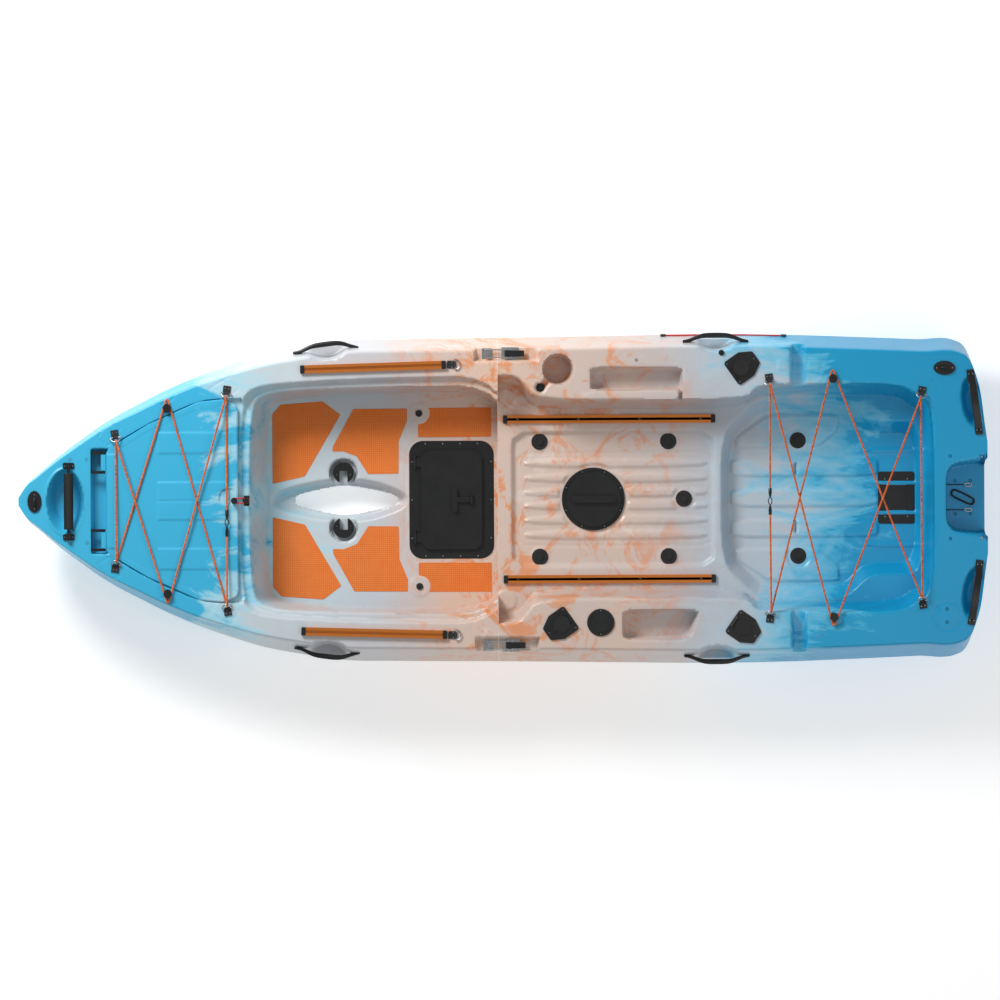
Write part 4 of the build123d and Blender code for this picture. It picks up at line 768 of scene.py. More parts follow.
def make_materials():
    make_grain_group()
    make_weave_group()
    black = plain("Black moulded nylon", srgb("101112"), 0.36, 900.0, 0.0004, 0.4, vary=0.35)
    rubber = plain("Black rubber", srgb("0E0E0F"), 0.55, 500.0, 0.0005, 0.5, vary=0.3)
    return {
        "bow_shell": hull_material("Marbled hull plastic"),
        "plastic_black": black,
        "rubber_black": rubber,
        "steel": steel_material(),
        "rail_orange": rail_material(),
        "foam_orange": foam_material(),
        # each braid's third colour is its dark flecks and also the painted shade between its strands
        "bungee": braid_material("Flecked orange bungee", srgb("EE6A1C"), srgb("F39A50"), srgb("A8430F")),
        "elastic_red": plain("Red elastic", srgb("D8241C"), 0.5, 700.0, 0.0004, 0.4),
        "webbing": webbing_material(),
        "cord_black": braid_material("Black braided cord", srgb("1A1A1B"), srgb("2C2C2E"), srgb("0A0A0A"),
                                     0.003),
    }


MATERIALS = {}


def material(key):
    if not MATERIALS:
        MATERIALS.update(make_materials())
    return MATERIALS[{"stern_shell": "bow_shell", "lid_shell": "bow_shell"}.get(key, key)]


# ---- mesh helpers -----------------------------------------------------------------------
def add_object(mesh, name, key, body, smooth=35.0):
    o = bpy.data.objects.new(name, mesh)
    bpy.context.scene.collection.objects.link(o)
    mesh.materials.append(material(key))
    finish_mesh(mesh, smooth)
    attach(o, body)
    return o


def finish_mesh(mesh, smooth):
    bm = bmesh.new()
    bm.from_mesh(mesh)
    bmesh.ops.remove_doubles(bm, verts=bm.verts, dist=1e-6)
    bmesh.ops.recalc_face_normals(bm, faces=bm.faces)
    for f in bm.faces:
        f.smooth = True
    limit = math.radians(smooth)
    for e in bm.edges:
        e.smooth = len(e.link_faces) != 2 or e.calc_face_angle(0) < limit
    bm.to_mesh(mesh)
    bm.free()


SLOT_OF = {s["node"]: s["material_slot"] for s in frame["record"]["subparts"]}
BODY_OF = {n: b for b, members in frame["record"]["behaviour"]["bodies"].items() for n in members}


def dress(name, bevel=0.6):
    """Gives a CAD node its finish, with its edges eased."""
    o = NODES[name]
    o.data.materials.clear()
    o.data.materials.append(material(SLOT_OF[name]))
    if bevel:
        b = o.modifiers.new("Eased edges", "BEVEL")
        b.width = bevel * MM
        b.segments = 2
        b.limit_method = "ANGLE"
        b.angle_limit = math.radians(50)


def weld_copy(name):
    """A merged copy of a CAD node's mesh."""
    mesh = NODES[name].data.copy()
    bm = bmesh.new()
    bm.from_mesh(mesh)
    bmesh.ops.remove_doubles(bm, verts=bm.verts, dist=1e-5)
    bmesh.ops.recalc_face_normals(bm, faces=bm.faces)
    bm.to_mesh(mesh)
    bm.free()
    return mesh


def replace_welded(name, bevel=0.6, smooth=40.0, key=None):
    """A welded, bevelled and smooth-shaded stand-in for a CAD node."""
    mesh = weld_copy(name)
    mesh.materials.clear()
    key = key or SLOT_OF[name]
    o = add_object(mesh, name + "_look", key, BODY_OF[name], smooth)
    if bevel:
        b = o.modifiers.new("Eased edges", "BEVEL")
        b.width = bevel * MM
        b.segments = 2
        b.limit_method = "ANGLE"
        b.angle_limit = math.radians(40)
        b.harden_normals = True
    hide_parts(name)
    return o


def build_hulls(step):
    made = []
    for section in ("bow", "stern"):
        o = add_object(hull_mesh(section, step), section + "_shell", section + "_shell", "hull", 60.0)
        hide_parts(section + "_hull")
        made.append(o)
    return made


# ---- cords ------------------------------------------------------------------------------
NEAREST = 0.5 * MM        # points of a line closer than this count as one


def spline_line(name, points):
    """Points read from a smooth curve that has the route as its control points."""
    curve = bpy.data.curves.new(name, "CURVE")
    curve.dimensions = "3D"
    curve.resolution_u = 10
    spline = curve.splines.new("NURBS")
    spline.points.add(len(points) - 1)
    for p, q in zip(spline.points, points):
        p.co = (*q, 1)
    spline.order_u = 3
    spline.use_endpoint_u = True
    o = bpy.data.objects.new(name + "_line", curve)
    bpy.context.scene.collection.objects.link(o)
    bpy.context.view_layer.update()
    line = bpy.data.meshes.new_from_object(o.evaluated_get(bpy.context.evaluated_depsgraph_get()))
    path = [Vector(v.co) for v in line.vertices]
    bpy.data.objects.remove(o)
    bpy.data.meshes.remove(line)
    kept = path[:1]
    for p in path[1:-1]:
        if (p - kept[-1]).length > NEAREST and (p - path[-1]).length > NEAREST:
            kept.append(p)
    return kept + path[-1:]


def ring_faces(rings, sides):
    """Quads between rings of points, each ring following the one before."""
    steps = [(k, (k + 1) % sides) for k in range(sides)]
    return [(i + k, i + n, i + sides + n, i + sides + k) for i in range(0, (rings - 1) * sides, sides)
            for k, n in steps]


def tube_mesh(name, path, radius, sides=12):
    """A round tube along a path, closed at both ends, with its run and turn in metres and turns as UV."""
    last = len(path) - 1
    tangents = [(path[min(i + 1, last)] - path[max(i - 1, 0)]).normalized() for i in range(last + 1)]
    normal = tangents[0].orthogonal().normalized()
    verts, runs, run = [], [], 0.0
    for i, (p, t) in enumerate(zip(path, tangents)):
        if i:
            run += (p - path[i - 1]).length
            normal = (normal - t * normal.dot(t)).normalized()
        runs.append(run)
        side = t.cross(normal)
        for k in range(sides):
            a = 2 * math.pi * k / sides
            verts.append(p + (normal * math.cos(a) + side * math.sin(a)) * radius)
    faces = ring_faces(len(path), sides)
    faces.append(tuple(reversed(range(sides))))
    faces.append(tuple(last * sides + k for k in range(sides)))
    mesh = bpy.data.meshes.new(name)
    mesh.from_pydata([tuple(v) for v in verts], [], faces)
    uv = mesh.uv_layers.new(name="UVMap")
    for poly in mesh.polygons:
        wraps = len(poly.vertices) == 4 and {v % sides for v in poly.vertices} == {0, sides - 1}
        for loop, v in zip(poly.loop_indices, poly.vertices):
            turn = (v % sides) / sides + (1.0 if wraps and v % sides == 0 else 0.0)
            uv.data[loop].uv = (runs[v // sides], turn)
    return mesh, run


def lay_cord(name, route, diameter, key):
    """A cord on its route, as a round tube."""
    path = spline_line(name, route)
    mesh, length = tube_mesh(name, path, diameter / 2)
    for poly in mesh.polygons:
        poly.use_smooth = True
    mesh.materials.append(material(key))
    o = bpy.data.objects.new(name, mesh)
    bpy.context.scene.collection.objects.link(o)
    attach(o, "hull")
    return o


HELD = 36 * MM            # how far a long straight stretch is held from each end
LONG_STRETCH = 120 * MM


def straight_with_ends(a, b, reach=HELD):
    """Two points on a long straight stretch, each near one end."""
    d = (b - a).normalized() * reach
    return [a + d, b - d]


def laced(corners):
    """Route of a lashing: corner points with the long straight stretches held straight."""
    corners = [Vector(c) for c in corners]
    route = [corners[0]]
    for a, b in zip(corners, corners[1:]):
        if (b - a).length > LONG_STRETCH:
            route += straight_with_ends(a, b)
        route.append(b)
    return route


BOW_LACING = [
    (-0.8719, -0.0340, 0.3215), (-0.8734, 0.3301, 0.3174), (-0.8722, 0.3301, 0.3336),
    (-1.0581, -0.3283, 0.3330),
    (-1.2180, 0.1921, 0.3578), (-1.2191, 0.1921, 0.3416), (-1.2180, -0.1921, 0.3578),
    (-1.2191, -0.1921, 0.3416),
    (-1.0581, 0.3283, 0.3330), (-0.8734, -0.3301, 0.3174), (-0.8722, -0.3301, 0.3336),
    (-0.8719, -0.1060, 0.3215)]
STERN_LACING = [
    (0.8380, 0.0260, 0.3090), (0.8390, 0.3601, 0.3048), (0.8390, 0.3601, 0.3210), (1.0360, -0.4099, 0.3075),
    (1.3145, 0.3181, 0.3210), (1.3145, 0.3181, 0.3048), (1.3145, -0.3181, 0.3210), (1.3145, -0.3181, 0.3048),
    (1.0360, 0.4099, 0.3075), (0.8390, -0.3601, 0.3048), (0.8390, -0.3601, 0.3210), (0.8380, -0.0460, 0.3090)]


LID_FOLD = (-1.222, 0, 0.34)       # where the bow lashing and the latch loop would fold to as the lid opens; nothing here folds them
LOOP_FOLD = (-0.812, 0, 0.34)


def build_lashings():
    diameter = settings().bungee_diameter
    bow_hook, stern_hook = hook_piece("bow_lashing_hook"), hook_piece("stern_lashing_hook")
    bow = lay_cord("bow_bungee", laced(BOW_LACING), diameter, "bungee")
    stern = lay_cord("stern_bungee", laced(STERN_LACING), diameter, "bungee")
    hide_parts("bow_lashing_bungee")
    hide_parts("stern_lashing_bungee")
    loop = replace_welded("bow_latch_loop", 0)
    for o, anchor in ((bow, LID_FOLD), (bow_hook, LID_FOLD), (loop, LOOP_FOLD)):
        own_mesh(o)
    return bow, stern


def hook_piece(name):
    """The two ferrules and the snap hook between them that join a bungee's ends."""
    low, high = (Vector(c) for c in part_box(name))
    mid, half = (low + high) / 2, (high.y - low.y) / 2
    x, z = mid.x, mid.z
    parts = []
    for s in (1, -1):
        rings = [(half, 4.4), (half - 0.001, 5.2), (half - 0.018, 5.2), (half - 0.019, 4.2),
                 (half - 0.024, 4.2),
                 (half - 0.025, 3.2), (half - 0.030, 3.0)]
        parts.append(turned_profile(rings, x, mid.y, z, s))
    wire = [(x + dx, mid.y + dy, z) for dx, dy in ((0, 0.014), (0.0055, 0.009), (0.006, -0.004),
                                                   (0.0, -0.012),
                                                 (-0.006, -0.004), (-0.0055, 0.009), (0, 0.014))]
    loop, _ = tube_mesh("snap", spline_line("snap", wire), 1.5 * MM, 8)
    parts.append(loop)
    mesh = joined(name + "_look", parts)
    o = add_object(mesh, name + "_look", "plastic_black", "hull", 40)
    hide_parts(name)
    return o


def turned_profile(rings, x, y, z, s, sides=20):
    """A piece turned about Y from rings of distance and radius (mm)."""
    verts = []
    for d, r in rings:
        for k in range(sides):
            a = 2 * math.pi * k / sides
            verts.append((x + math.cos(a) * r * MM, y + s * d, z + math.sin(a) * r * MM))
    faces = ring_faces(len(rings), sides)
    faces.append(tuple(range(sides)))
    faces.append(tuple(reversed(range((len(rings) - 1) * sides, len(rings) * sides))))
    mesh = bpy.data.meshes.new("turned")
    mesh.from_pydata(verts, [], faces)
    return mesh


def joined(name, parts):
    bm = bmesh.new()
    for part in parts:
        bm.from_mesh(part)
    mesh = bpy.data.meshes.new(name)
    bm.to_mesh(mesh)
    bm.free()
    return mesh


# ---- lattice panels ------------------------------------------------------------------------
def panel_mesh(name, half, x0, x1, low, heights, step, edge=3.0):
    """A closed panel over an outline: half is its half breadth at x, heights its top, low its underside."""
    rows, cols = int((x1 - x0) / step), int(2 * max(half(np.linspace(x0, x1, 50))) / step)
    along = np.linspace(x0, x1, rows + 1)
    x, v = np.meshgrid(along, np.linspace(-1, 1, cols + 1), indexing="ij")
    y = half(x) * v
    inboard = np.minimum(np.minimum(half(x) - np.abs(y), x - x0), x1 - x)
    top = heights(x, y)
    drop = edge - np.sqrt(np.maximum(edge ** 2 - (edge - inboard) ** 2, 0))
    top = np.where(inboard < edge, top - drop, top)
    base = low(x, y)
    n = x.size
    verts = MM * np.concatenate([np.stack([x, y, z], -1).reshape(-1, 3) for z in (top, base)])
    index = np.arange(n).reshape(x.shape)
    a, b, c, d = index[:-1, :-1], index[1:, :-1], index[1:, 1:], index[:-1, 1:]
    faces = np.stack([a, b, c, d], -1).reshape(-1, 4).tolist()
    faces += np.stack([a + n, d + n, c + n, b + n], -1).reshape(-1, 4).tolist()
    rim = list(index[:, 0]) + list(index[-1, 1:]) + list(index[-2::-1, -1]) + list(index[0, -2:0:-1])
    for p, q in zip(rim, rim[1:] + rim[:1]):
        faces.append([int(q), int(p), int(p) + n, int(q) + n])
    mesh = bpy.data.meshes.new(name)
    mesh.from_pydata(verts.tolist(), [], faces)
    return mesh


def lid_half(x):
    """Half breadth of the bow lid with its corners rounded."""
    r = 16.0
    h = at(LID, x)
    for end, sense in ((LID[0][0], 1), (LID[-1][0], -1)):
        d = np.clip((np.asarray(x) - end) * sense, 0, r)
        h = h - (r - np.sqrt(np.maximum(r * r - (r - d) ** 2, 0)))
    return h


def lid_heights(x, y):
    z = deck_plane(x) + 1.0
    panel = np.maximum(np.maximum(-1090 - x, x + 858), -5)
    for inner, outer in ((-1, 62), (147, 218)):
        side = np.maximum(np.abs(y) - outer, inner - np.abs(y))
        z = swell(z, np.maximum(side, panel), 2.6, 5)
    rim = np.maximum(np.abs(y) - lid_half(x) + 20, -1200 - x)
    z = z - 0.8 * (rim < 0)
    z = sink(z, distance(rounded([(-898, -14), (-898, 24), (-880, 40), (-846, 40), (-846, -14)], 1), x, y),
             deck_plane(x) - 3, 3, 2, 2)
    hem = np.maximum(np.maximum(-1250 - x, x + 1214), np.abs(y) - 150)
    return swell(z, hem, 2.4, 4)


def build_bow_lid():
    low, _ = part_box("bow_hatch_lid")
    cad = weld_copy("bow_hatch_lid")
    under = deck_plane
    body = panel_mesh("lid_panel", lid_half, LID[0][0] + 0.5, LID[-1][0] - 0.5, lambda x, y: under(x) - 11.0,
                      lid_heights, 4.0)
    knuckles = low_part(cad, LID[0][0] * MM - 0.0005)
    mesh = joined("bow_lid_panel", [body] + ([knuckles] if knuckles else []))
    o = add_object(mesh, "bow_lid_panel", "lid_shell", "bow_lid", 35)
    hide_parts("bow_hatch_lid")
    return o


def low_part(mesh, x):
    """What a mesh has forward of x, closed where it was cut."""
    bm = bmesh.new()
    bm.from_mesh(mesh)
    cut = bmesh.ops.bisect_plane(bm, geom=bm.verts[:] + bm.edges[:] + bm.faces[:], plane_co=(x, 0, 0),
                                 plane_no=(1, 0, 0), clear_outer=True)
    edges = [e for e in cut["geom_cut"] if isinstance(e, bmesh.types.BMEdge)]
    if not bm.faces:
        bm.free()
        return None
    bmesh.ops.holes_fill(bm, edges=edges)
    out = bpy.data.meshes.new("knuckles")
    bm.to_mesh(out)
    bm.free()
    return out


# ---- deck pads -------------------------------------------------------------------------------
def build_deck_pads():
    """Each foam pad as a cut sheet with a bevelled rim and a closely divided face."""
    mesh = weld_copy("deck_pads")
    mesh.materials.clear()
    o = add_object(mesh, "deck_pads_foam", "foam_orange", "hull", 40)
    rim = o.modifiers.new("Cut rim", "BEVEL")
    rim.width = settings().pad_rim
    rim.segments = 3
    rim.limit_method = "ANGLE"
    rim.angle_limit = math.radians(50)
    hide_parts("deck_pads")
    return o


# ---- repeated pieces by Geometry Nodes --------------------------------------------------------
def new_tree(name, sockets):
    tree = bpy.data.node_groups.new(name, "GeometryNodeTree")
    tree.interface.new_socket(name="Geometry", in_out="INPUT", socket_type="NodeSocketGeometry")
    tree.interface.new_socket(name="Geometry", in_out="OUTPUT", socket_type="NodeSocketGeometry")
    ids = {}
    for label, kind, value in sockets:
        s = tree.interface.new_socket(name=label, in_out="INPUT", socket_type=kind)
        if value is not None:
            s.default_value = value
        ids[label] = s.identifier
    return tree, ids


def grown(name, points, tree, ids, values, attributes=()):
    """The plain mesh that a tree makes of a cloud of points."""
    seed = bpy.data.meshes.new(name + "_points")
    seed.from_pydata([tuple(p) for p in points], [], [])
    for label, data in attributes:
        a = seed.attributes.new(label, "FLOAT_VECTOR", "POINT")
        for item, value in zip(a.data, data):
            item.vector = value
    o = bpy.data.objects.new(name + "_seed", seed)
    bpy.context.scene.collection.objects.link(o)
    m = o.modifiers.new(name, "NODES")
    m.node_group = tree
    for label, value in values.items():
        m[ids[label]] = value
    bpy.context.view_layer.update()
    out = bpy.data.meshes.new_from_object(o.evaluated_get(bpy.context.evaluated_depsgraph_get()))
    out.name = name
    o.modifiers.clear()
    bpy.data.objects.remove(o)
    return out


def screw_tree():
    """Pan heads with a cross recess, set on points along their axes."""
    tree, ids = new_tree("Pan head screws", [
        ("Head radius", "NodeSocketFloat", 0.0042), ("Head height", "NodeSocketFloat", 0.0022),
        ("Recess width", "NodeSocketFloat", 0.0011), ("Finish", "NodeSocketMaterial", None)])
    inp, out = node(tree, "NodeGroupInput"), node(tree, "NodeGroupOutput")
    head = node(tree, "GeometryNodeMeshCone")
    head.inputs["Vertices"].default_value = 18
    head.inputs["Side Segments"].default_value = 1
    link(tree, math_node(tree, "MULTIPLY", inp.outputs["Head radius"], 0.72), head.inputs["Radius Top"])
    link(tree, inp.outputs["Head radius"], head.inputs["Radius Bottom"])
    link(tree, inp.outputs["Head height"], head.inputs["Depth"])
    join = node(tree, "GeometryNodeJoinGeometry")
    for turn in (0.0, math.pi / 2):
        bar = node(tree, "GeometryNodeMeshCube")
        size = node(tree, "ShaderNodeCombineXYZ")
        link(tree, math_node(tree, "MULTIPLY", inp.outputs["Head radius"], 1.05), size.inputs[0])
        link(tree, inp.outputs["Recess width"], size.inputs[1])
        link(tree, math_node(tree, "MULTIPLY", inp.outputs["Head height"], 1.2), size.inputs[2])
        link(tree, size.outputs[0], bar.inputs["Size"])
        place = node(tree, "GeometryNodeTransform")
        place.inputs["Rotation"].default_value = (0, 0, turn)
        up = node(tree, "ShaderNodeCombineXYZ")
        link(tree, math_node(tree, "MULTIPLY", inp.outputs["Head height"], 1.15), up.inputs[2])
        link(tree, up.outputs[0], place.inputs["Translation"])
        link(tree, bar.outputs["Mesh"], place.inputs["Geometry"])
        link(tree, place.outputs[0], join.inputs[0])
    cut = node(tree, "GeometryNodeMeshBoolean", operation="DIFFERENCE")
    link(tree, head.outputs["Mesh"], cut.inputs[0])
    link(tree, join.outputs[0], cut.inputs[1])
    axis = node(tree, "GeometryNodeInputNamedAttribute", data_type="FLOAT_VECTOR")
    axis.inputs["Name"].default_value = "axis"
    lean = node(tree, "FunctionNodeAlignRotationToVector", axis="Z")
    link(tree, axis.outputs[0], lean.inputs["Vector"])
    spread = node(tree, "GeometryNodeInstanceOnPoints")
    link(tree, inp.outputs["Geometry"], spread.inputs["Points"])
    link(tree, cut.outputs[0], spread.inputs["Instance"])
    link(tree, lean.outputs[0], spread.inputs["Rotation"])
    finish_tree(tree, inp, out, spread.outputs[0])
    return tree, ids


def finish_tree(tree, inp, out, geometry):
    real = node(tree, "GeometryNodeRealizeInstances")
    paint = node(tree, "GeometryNodeSetMaterial")
    link(tree, geometry, real.inputs[0])
    link(tree, real.outputs[0], paint.inputs["Geometry"])
    link(tree, inp.outputs["Finish"], paint.inputs["Material"])
    link(tree, paint.outputs[0], out.inputs[0])


def tick_tree():
    """Raised ruler ticks, each as long as its point's own size says."""
    tree, ids = new_tree("Ruler ticks", [("Width", "NodeSocketFloat", 0.0009),
                                         ("Height", "NodeSocketFloat", 0.0006),
                                         ("Finish", "NodeSocketMaterial", None)])
    inp, out = node(tree, "NodeGroupInput"), node(tree, "NodeGroupOutput")
    bar = node(tree, "GeometryNodeMeshCube")
    size = node(tree, "ShaderNodeCombineXYZ")
    link(tree, inp.outputs["Width"], size.inputs[0])
    size.inputs[1].default_value = 1.0
    link(tree, inp.outputs["Height"], size.inputs[2])
    link(tree, size.outputs[0], bar.inputs["Size"])
    long = node(tree, "GeometryNodeInputNamedAttribute", data_type="FLOAT_VECTOR")
    long.inputs["Name"].default_value = "size"
    spread = node(tree, "GeometryNodeInstanceOnPoints")
    link(tree, inp.outputs["Geometry"], spread.inputs["Points"])
    link(tree, bar.outputs["Mesh"], spread.inputs["Instance"])
    link(tree, long.outputs[0], spread.inputs["Scale"])
    finish_tree(tree, inp, out, spread.outputs[0])
    return tree, ids


def islands(mesh):
    bm = bmesh.new()
    bm.from_mesh(mesh)
    seen, groups = set(), []
    for f in bm.faces:
        if f.index in seen:
            continue
        stack, group = [f], []
        seen.add(f.index)
        while stack:
            g = stack.pop()
            group.append((g.calc_area(), g.normal.copy(), g.calc_center_median()))
            for e in g.edges:
                for h in e.link_faces:
                    if h.index not in seen:
                        seen.add(h.index)
                        stack.append(h)
        groups.append(group)
    bm.free()
    return groups


def head_tops(name):
    """Place and axis of each screw head in a node: the middle and normal of its largest flat face."""
    tops = []
    for group in islands(weld_copy(name)):
        flats = {}
        for area, normal, centre in group:
            key = tuple(round(c, 2) for c in normal)
            total, weighted = flats.get(key, (0.0, Vector((0, 0, 0))))
            flats[key] = (total + area, weighted + centre * area)
        axis, (total, weighted) = max(flats.items(), key=lambda item: item[1][0])
        tops.append((weighted / total, Vector(axis).normalized()))
    return tops


def build_screws():
    tree, ids = screw_tree()
    p = settings()
    for name in ("bow_screws", "stern_screws"):
        tops = head_tops(name)
        height = p.head_height
        points = [top - axis * height for top, axis in tops]
        values = {"Head radius": p.head_radius, "Head height": height, "Recess width": p.recess_width,
                  "Finish": material("steel")}
        mesh = grown(name + "_heads", points, tree, ids, values, [("axis", [axis for _, axis in tops])])
        mesh.materials.clear()
        o = add_object(mesh, name + "_heads", "steel", "hull", 40)
        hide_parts(name)
    return [name for name in ("bow_screws", "stern_screws")]


def build_ruler():
    """A plain ruler moulded along each side of the footwell floor."""
    tree, ids = tick_tree()
    p = settings()
    count = int(round((RULER_END - RULER_START) / (p.tick_pitch / MM))) + 1
    points, sizes = [], []
    for side in (1, -1):
        for i in range(count):
            long = 13.0 if i % 10 == 0 else 9.0 if i % 5 == 0 else 6.0
            points.append(((RULER_START + i * p.tick_pitch / MM) * MM, side * (RULER_Y - long / 2) * MM,
                           (FLOOR_Z + 0.2) * MM))
            sizes.append((1.0, long * MM, 1.0))
    values = {"Width": 0.0009, "Height": 0.0010, "Finish": material("bow_shell")}
    mesh = grown("ruler_ticks", points, tree, ids, values, [("size", sizes)])
    mesh.materials.clear()
    return add_object(mesh, "ruler_ticks", "bow_shell", "hull", 40)


RULER_START, RULER_END, RULER_Y = -540.0, -80.0, 333.0


# ---- hatches, rails and the other fittings -----------------------------------------------------
GENTLE = {"bow_handle_grip": 1.5, "round_hatch_lid": 0.8, "round_hatch_frame": 0.8, "floor_hatch_frame": 1.0,
          "floor_hatch_lid": 1.2, "rod_holders": 0.8, "deck_plate_ring": 0.8, "deck_plate_cap": 0.8,
          "side_handles": 2.0, "stern_handles": 2.0, "scupper_plugs": 1.0, "tank_cover_plate": 1.0,
          "drive_saddles": 0.8, "bow_hatch_gasket": 0.3, "floor_hatch_gasket": 0.3, "round_hatch_seal": 0.3}
HATCH_NODES = ("floor_hatch_frame", "floor_hatch_gasket", "floor_hatch_lid", "floor_hatch_latch",
               "round_hatch_frame", "round_hatch_seal", "round_hatch_lid", "deck_plate_ring",
               "deck_plate_cap",
               "bow_hatch_gasket", "bow_hatch_hinges", "bow_latch_knob", "bow_latch_catch",
               "tank_cover_plate")
RAIL_NODES = ("front_rails", "seat_rails", "rail_end_caps", "rail_dring_tabs", "rail_dring_starboard",
              "rail_dring_port")
HANDLE_NODES = ("bow_handle_grip", "bow_handle_mounts", "side_handles", "stern_handles")


GRIP_STATIONS, GRIP_SIDES = 33, 20
GRIP_SWELL, GRIP_END = 8.5, 3.5     # half thickness of a side grip at its middle and at its ends, mm


def separate(mesh):
    """The loose parts of a mesh, each as its own mesh."""
    bm = bmesh.new()
    bm.from_mesh(mesh)
    parts, left = [], set(bm.verts)
    while left:
        stack, found = [left.pop()], []
        while stack:
            v = stack.pop()
            found.append(v)
            for e in v.link_edges:
                other = e.other_vert(v)
                if other in left:
                    left.remove(other)
                    stack.append(other)
        edges = {e for v in found for e in v.link_edges}
        parts.append([tuple(v.co.copy() for v in e.verts) for e in edges])
    bm.free()
    return parts


def grip_mesh(edges):
    """A moulded grip over a strap: its middle line eased into an arc, with a rounded, swelling section."""
    xs = [p.x for e in edges for p in e]
    inset = 0.4 * MM
    stations = np.linspace(min(xs) + inset, max(xs) - inset, GRIP_STATIONS)
    middles, highs = [], []
    for x in stations:
        hits = [a + (b - a) * ((x - a.x) / (b.x - a.x)) for a, b in edges if (a.x - x) * (b.x - x) < 0]
        ys, zs = [h.y for h in hits], [h.z for h in hits]
        middles.append(((min(ys) + max(ys)) / 2, (min(zs) + max(zs)) / 2))
        highs.append((max(zs) - min(zs)) / 2)
    middles, highs = np.array(middles), np.array(highs)
    for _ in range(14):
        middles[1:-1] = (middles[:-2] + middles[1:-1] * 2 + middles[2:]) / 4
        highs[1:-1] = (highs[:-2] + highs[1:-1] * 2 + highs[2:]) / 4
    verts = []
    for i, (x, (y, z), high) in enumerate(zip(stations, middles, highs)):
        u = 2 * i / (GRIP_STATIONS - 1) - 1
        thick = (GRIP_END + (GRIP_SWELL - GRIP_END) * math.cos(u * math.pi / 2) ** 0.8) * MM
        for k in range(GRIP_SIDES):
            a = 2 * math.pi * k / GRIP_SIDES
            c, s = math.cos(a), math.sin(a)
            verts.append((x, y + math.copysign(abs(c) ** 0.7, c) * thick,
                          z + math.copysign(abs(s) ** 0.5, s) * high))
    faces = ring_faces(GRIP_STATIONS, GRIP_SIDES)
    faces += [tuple(range(GRIP_SIDES)), tuple(reversed(range(len(verts) - GRIP_SIDES, len(verts))))]
    mesh = bpy.data.meshes.new("grip")
    mesh.from_pydata(verts, [], faces)
    return mesh


def build_handles():
    made = build_group([name for name in HANDLE_NODES if name != "side_handles"])
    grips = joined("side_grips", [grip_mesh(edges) for edges in separate(weld_copy("side_handles"))])
    o = add_object(grips, "side_grips", SLOT_OF["side_handles"], BODY_OF["side_handles"], 50)
    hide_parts("side_handles")
    return made + [o]


def build_group(names):
    for name in names:
        if name in GENTLE:
            replace_welded(name, GENTLE[name])
        else:
            dress(name, 0)
    return [NODES[name] for name in names]


def build_fittings():
    done = set(HATCH_NODES) | set(RAIL_NODES) | set(HANDLE_NODES) | {
        "bow_hull", "stern_hull", "bow_hatch_lid", "deck_pads", "bow_screws", "stern_screws",
        "bow_lashing_bungee",
        "stern_lashing_bungee", "bow_lashing_hook", "stern_lashing_hook", "bow_latch_loop", "rudder_lines",
        "rudder_cord_hank", "paddle_keeper_cord"}
    return build_group([name for name in sorted(NODES) if name not in done])


def build_stern_cords():
    """Rudder lines in the notch, the hank of spare line and the paddle keeper along the starboard side."""
    d = settings().line_diameter
    (low, high), r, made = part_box("rudder_lines"), d / 2, []
    for name, y in (("rudder_line_starboard", 0.040), ("rudder_line_port", -0.040)):
        route = [(low.x + 0.0005, y, high.z - r), (1.408, y, high.z - r), (1.420, y, low.z + r + 0.0016),
                 (1.433, y, low.z + r), (1.445, y, low.z + r), (high.x - 0.0005, y, low.z + r)]
        made.append(lay_cord(name, route, d, "cord_black"))
    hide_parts("rudder_lines")
    low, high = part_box("rudder_cord_hank")
    spare = lay_cord("rudder_spare_line", hank_points((low + high) / 2), d, "cord_black")
    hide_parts("rudder_cord_hank")
    low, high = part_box("paddle_keeper_cord")
    keeper = replace_welded("paddle_keeper_cord", 0)
    made += [spare, keeper]
    return made


HANK_TURNS, HANK_PER_TURN = 3, 24
HANK_REACH, HANK_FOLD, HANK_RISE, HANK_SPIN = 27.0, 9.2, 1.6, -26.0     # mm, and degrees


def hank_points(mid):
    """A neat hank in two layers: it winds outwards in the lower one, and back inwards in the upper."""
    pitch = settings().line_diameter / MM + 0.1
    spin, points, half = math.radians(HANK_SPIN), [], HANK_TURNS / 2
    for i in range(HANK_TURNS * HANK_PER_TURN + 1):
        t = i / HANK_PER_TURN
        fold = HANK_FOLD + pitch * (t if t < half else HANK_TURNS - t)
        a = 2 * math.pi * t
        u = fold * math.cos(a) + math.copysign(HANK_REACH, math.cos(a)) * min(1.0, abs(math.cos(a)) * 3)
        v = fold * math.sin(a)
        climb = min(max((t - half) * 4 + 0.5, 0), 1)
        w = HANK_RISE * (2 * climb * climb * (3 - 2 * climb) - 1)
        points.append((mid.x + (u * math.cos(spin) - v * math.sin(spin)) * MM,
                       mid.y + (u * math.sin(spin) + v * math.cos(spin)) * MM, mid.z + w * MM))
    return points


# ---- stage ------------------------------------------------------------------------------
CAMERA_HEIGHT, VIEW_WIDTH, VIEW_SHIFT, VIEW_ROLL = 16.0, 3.160, (-0.0126, -0.0016), -0.28
LAMPS = (("key", (-2.4, 3.0, 3.0), 1.5, 190.0), ("fill", (2.6, -2.0, 4.5), 4.0, 45.0))


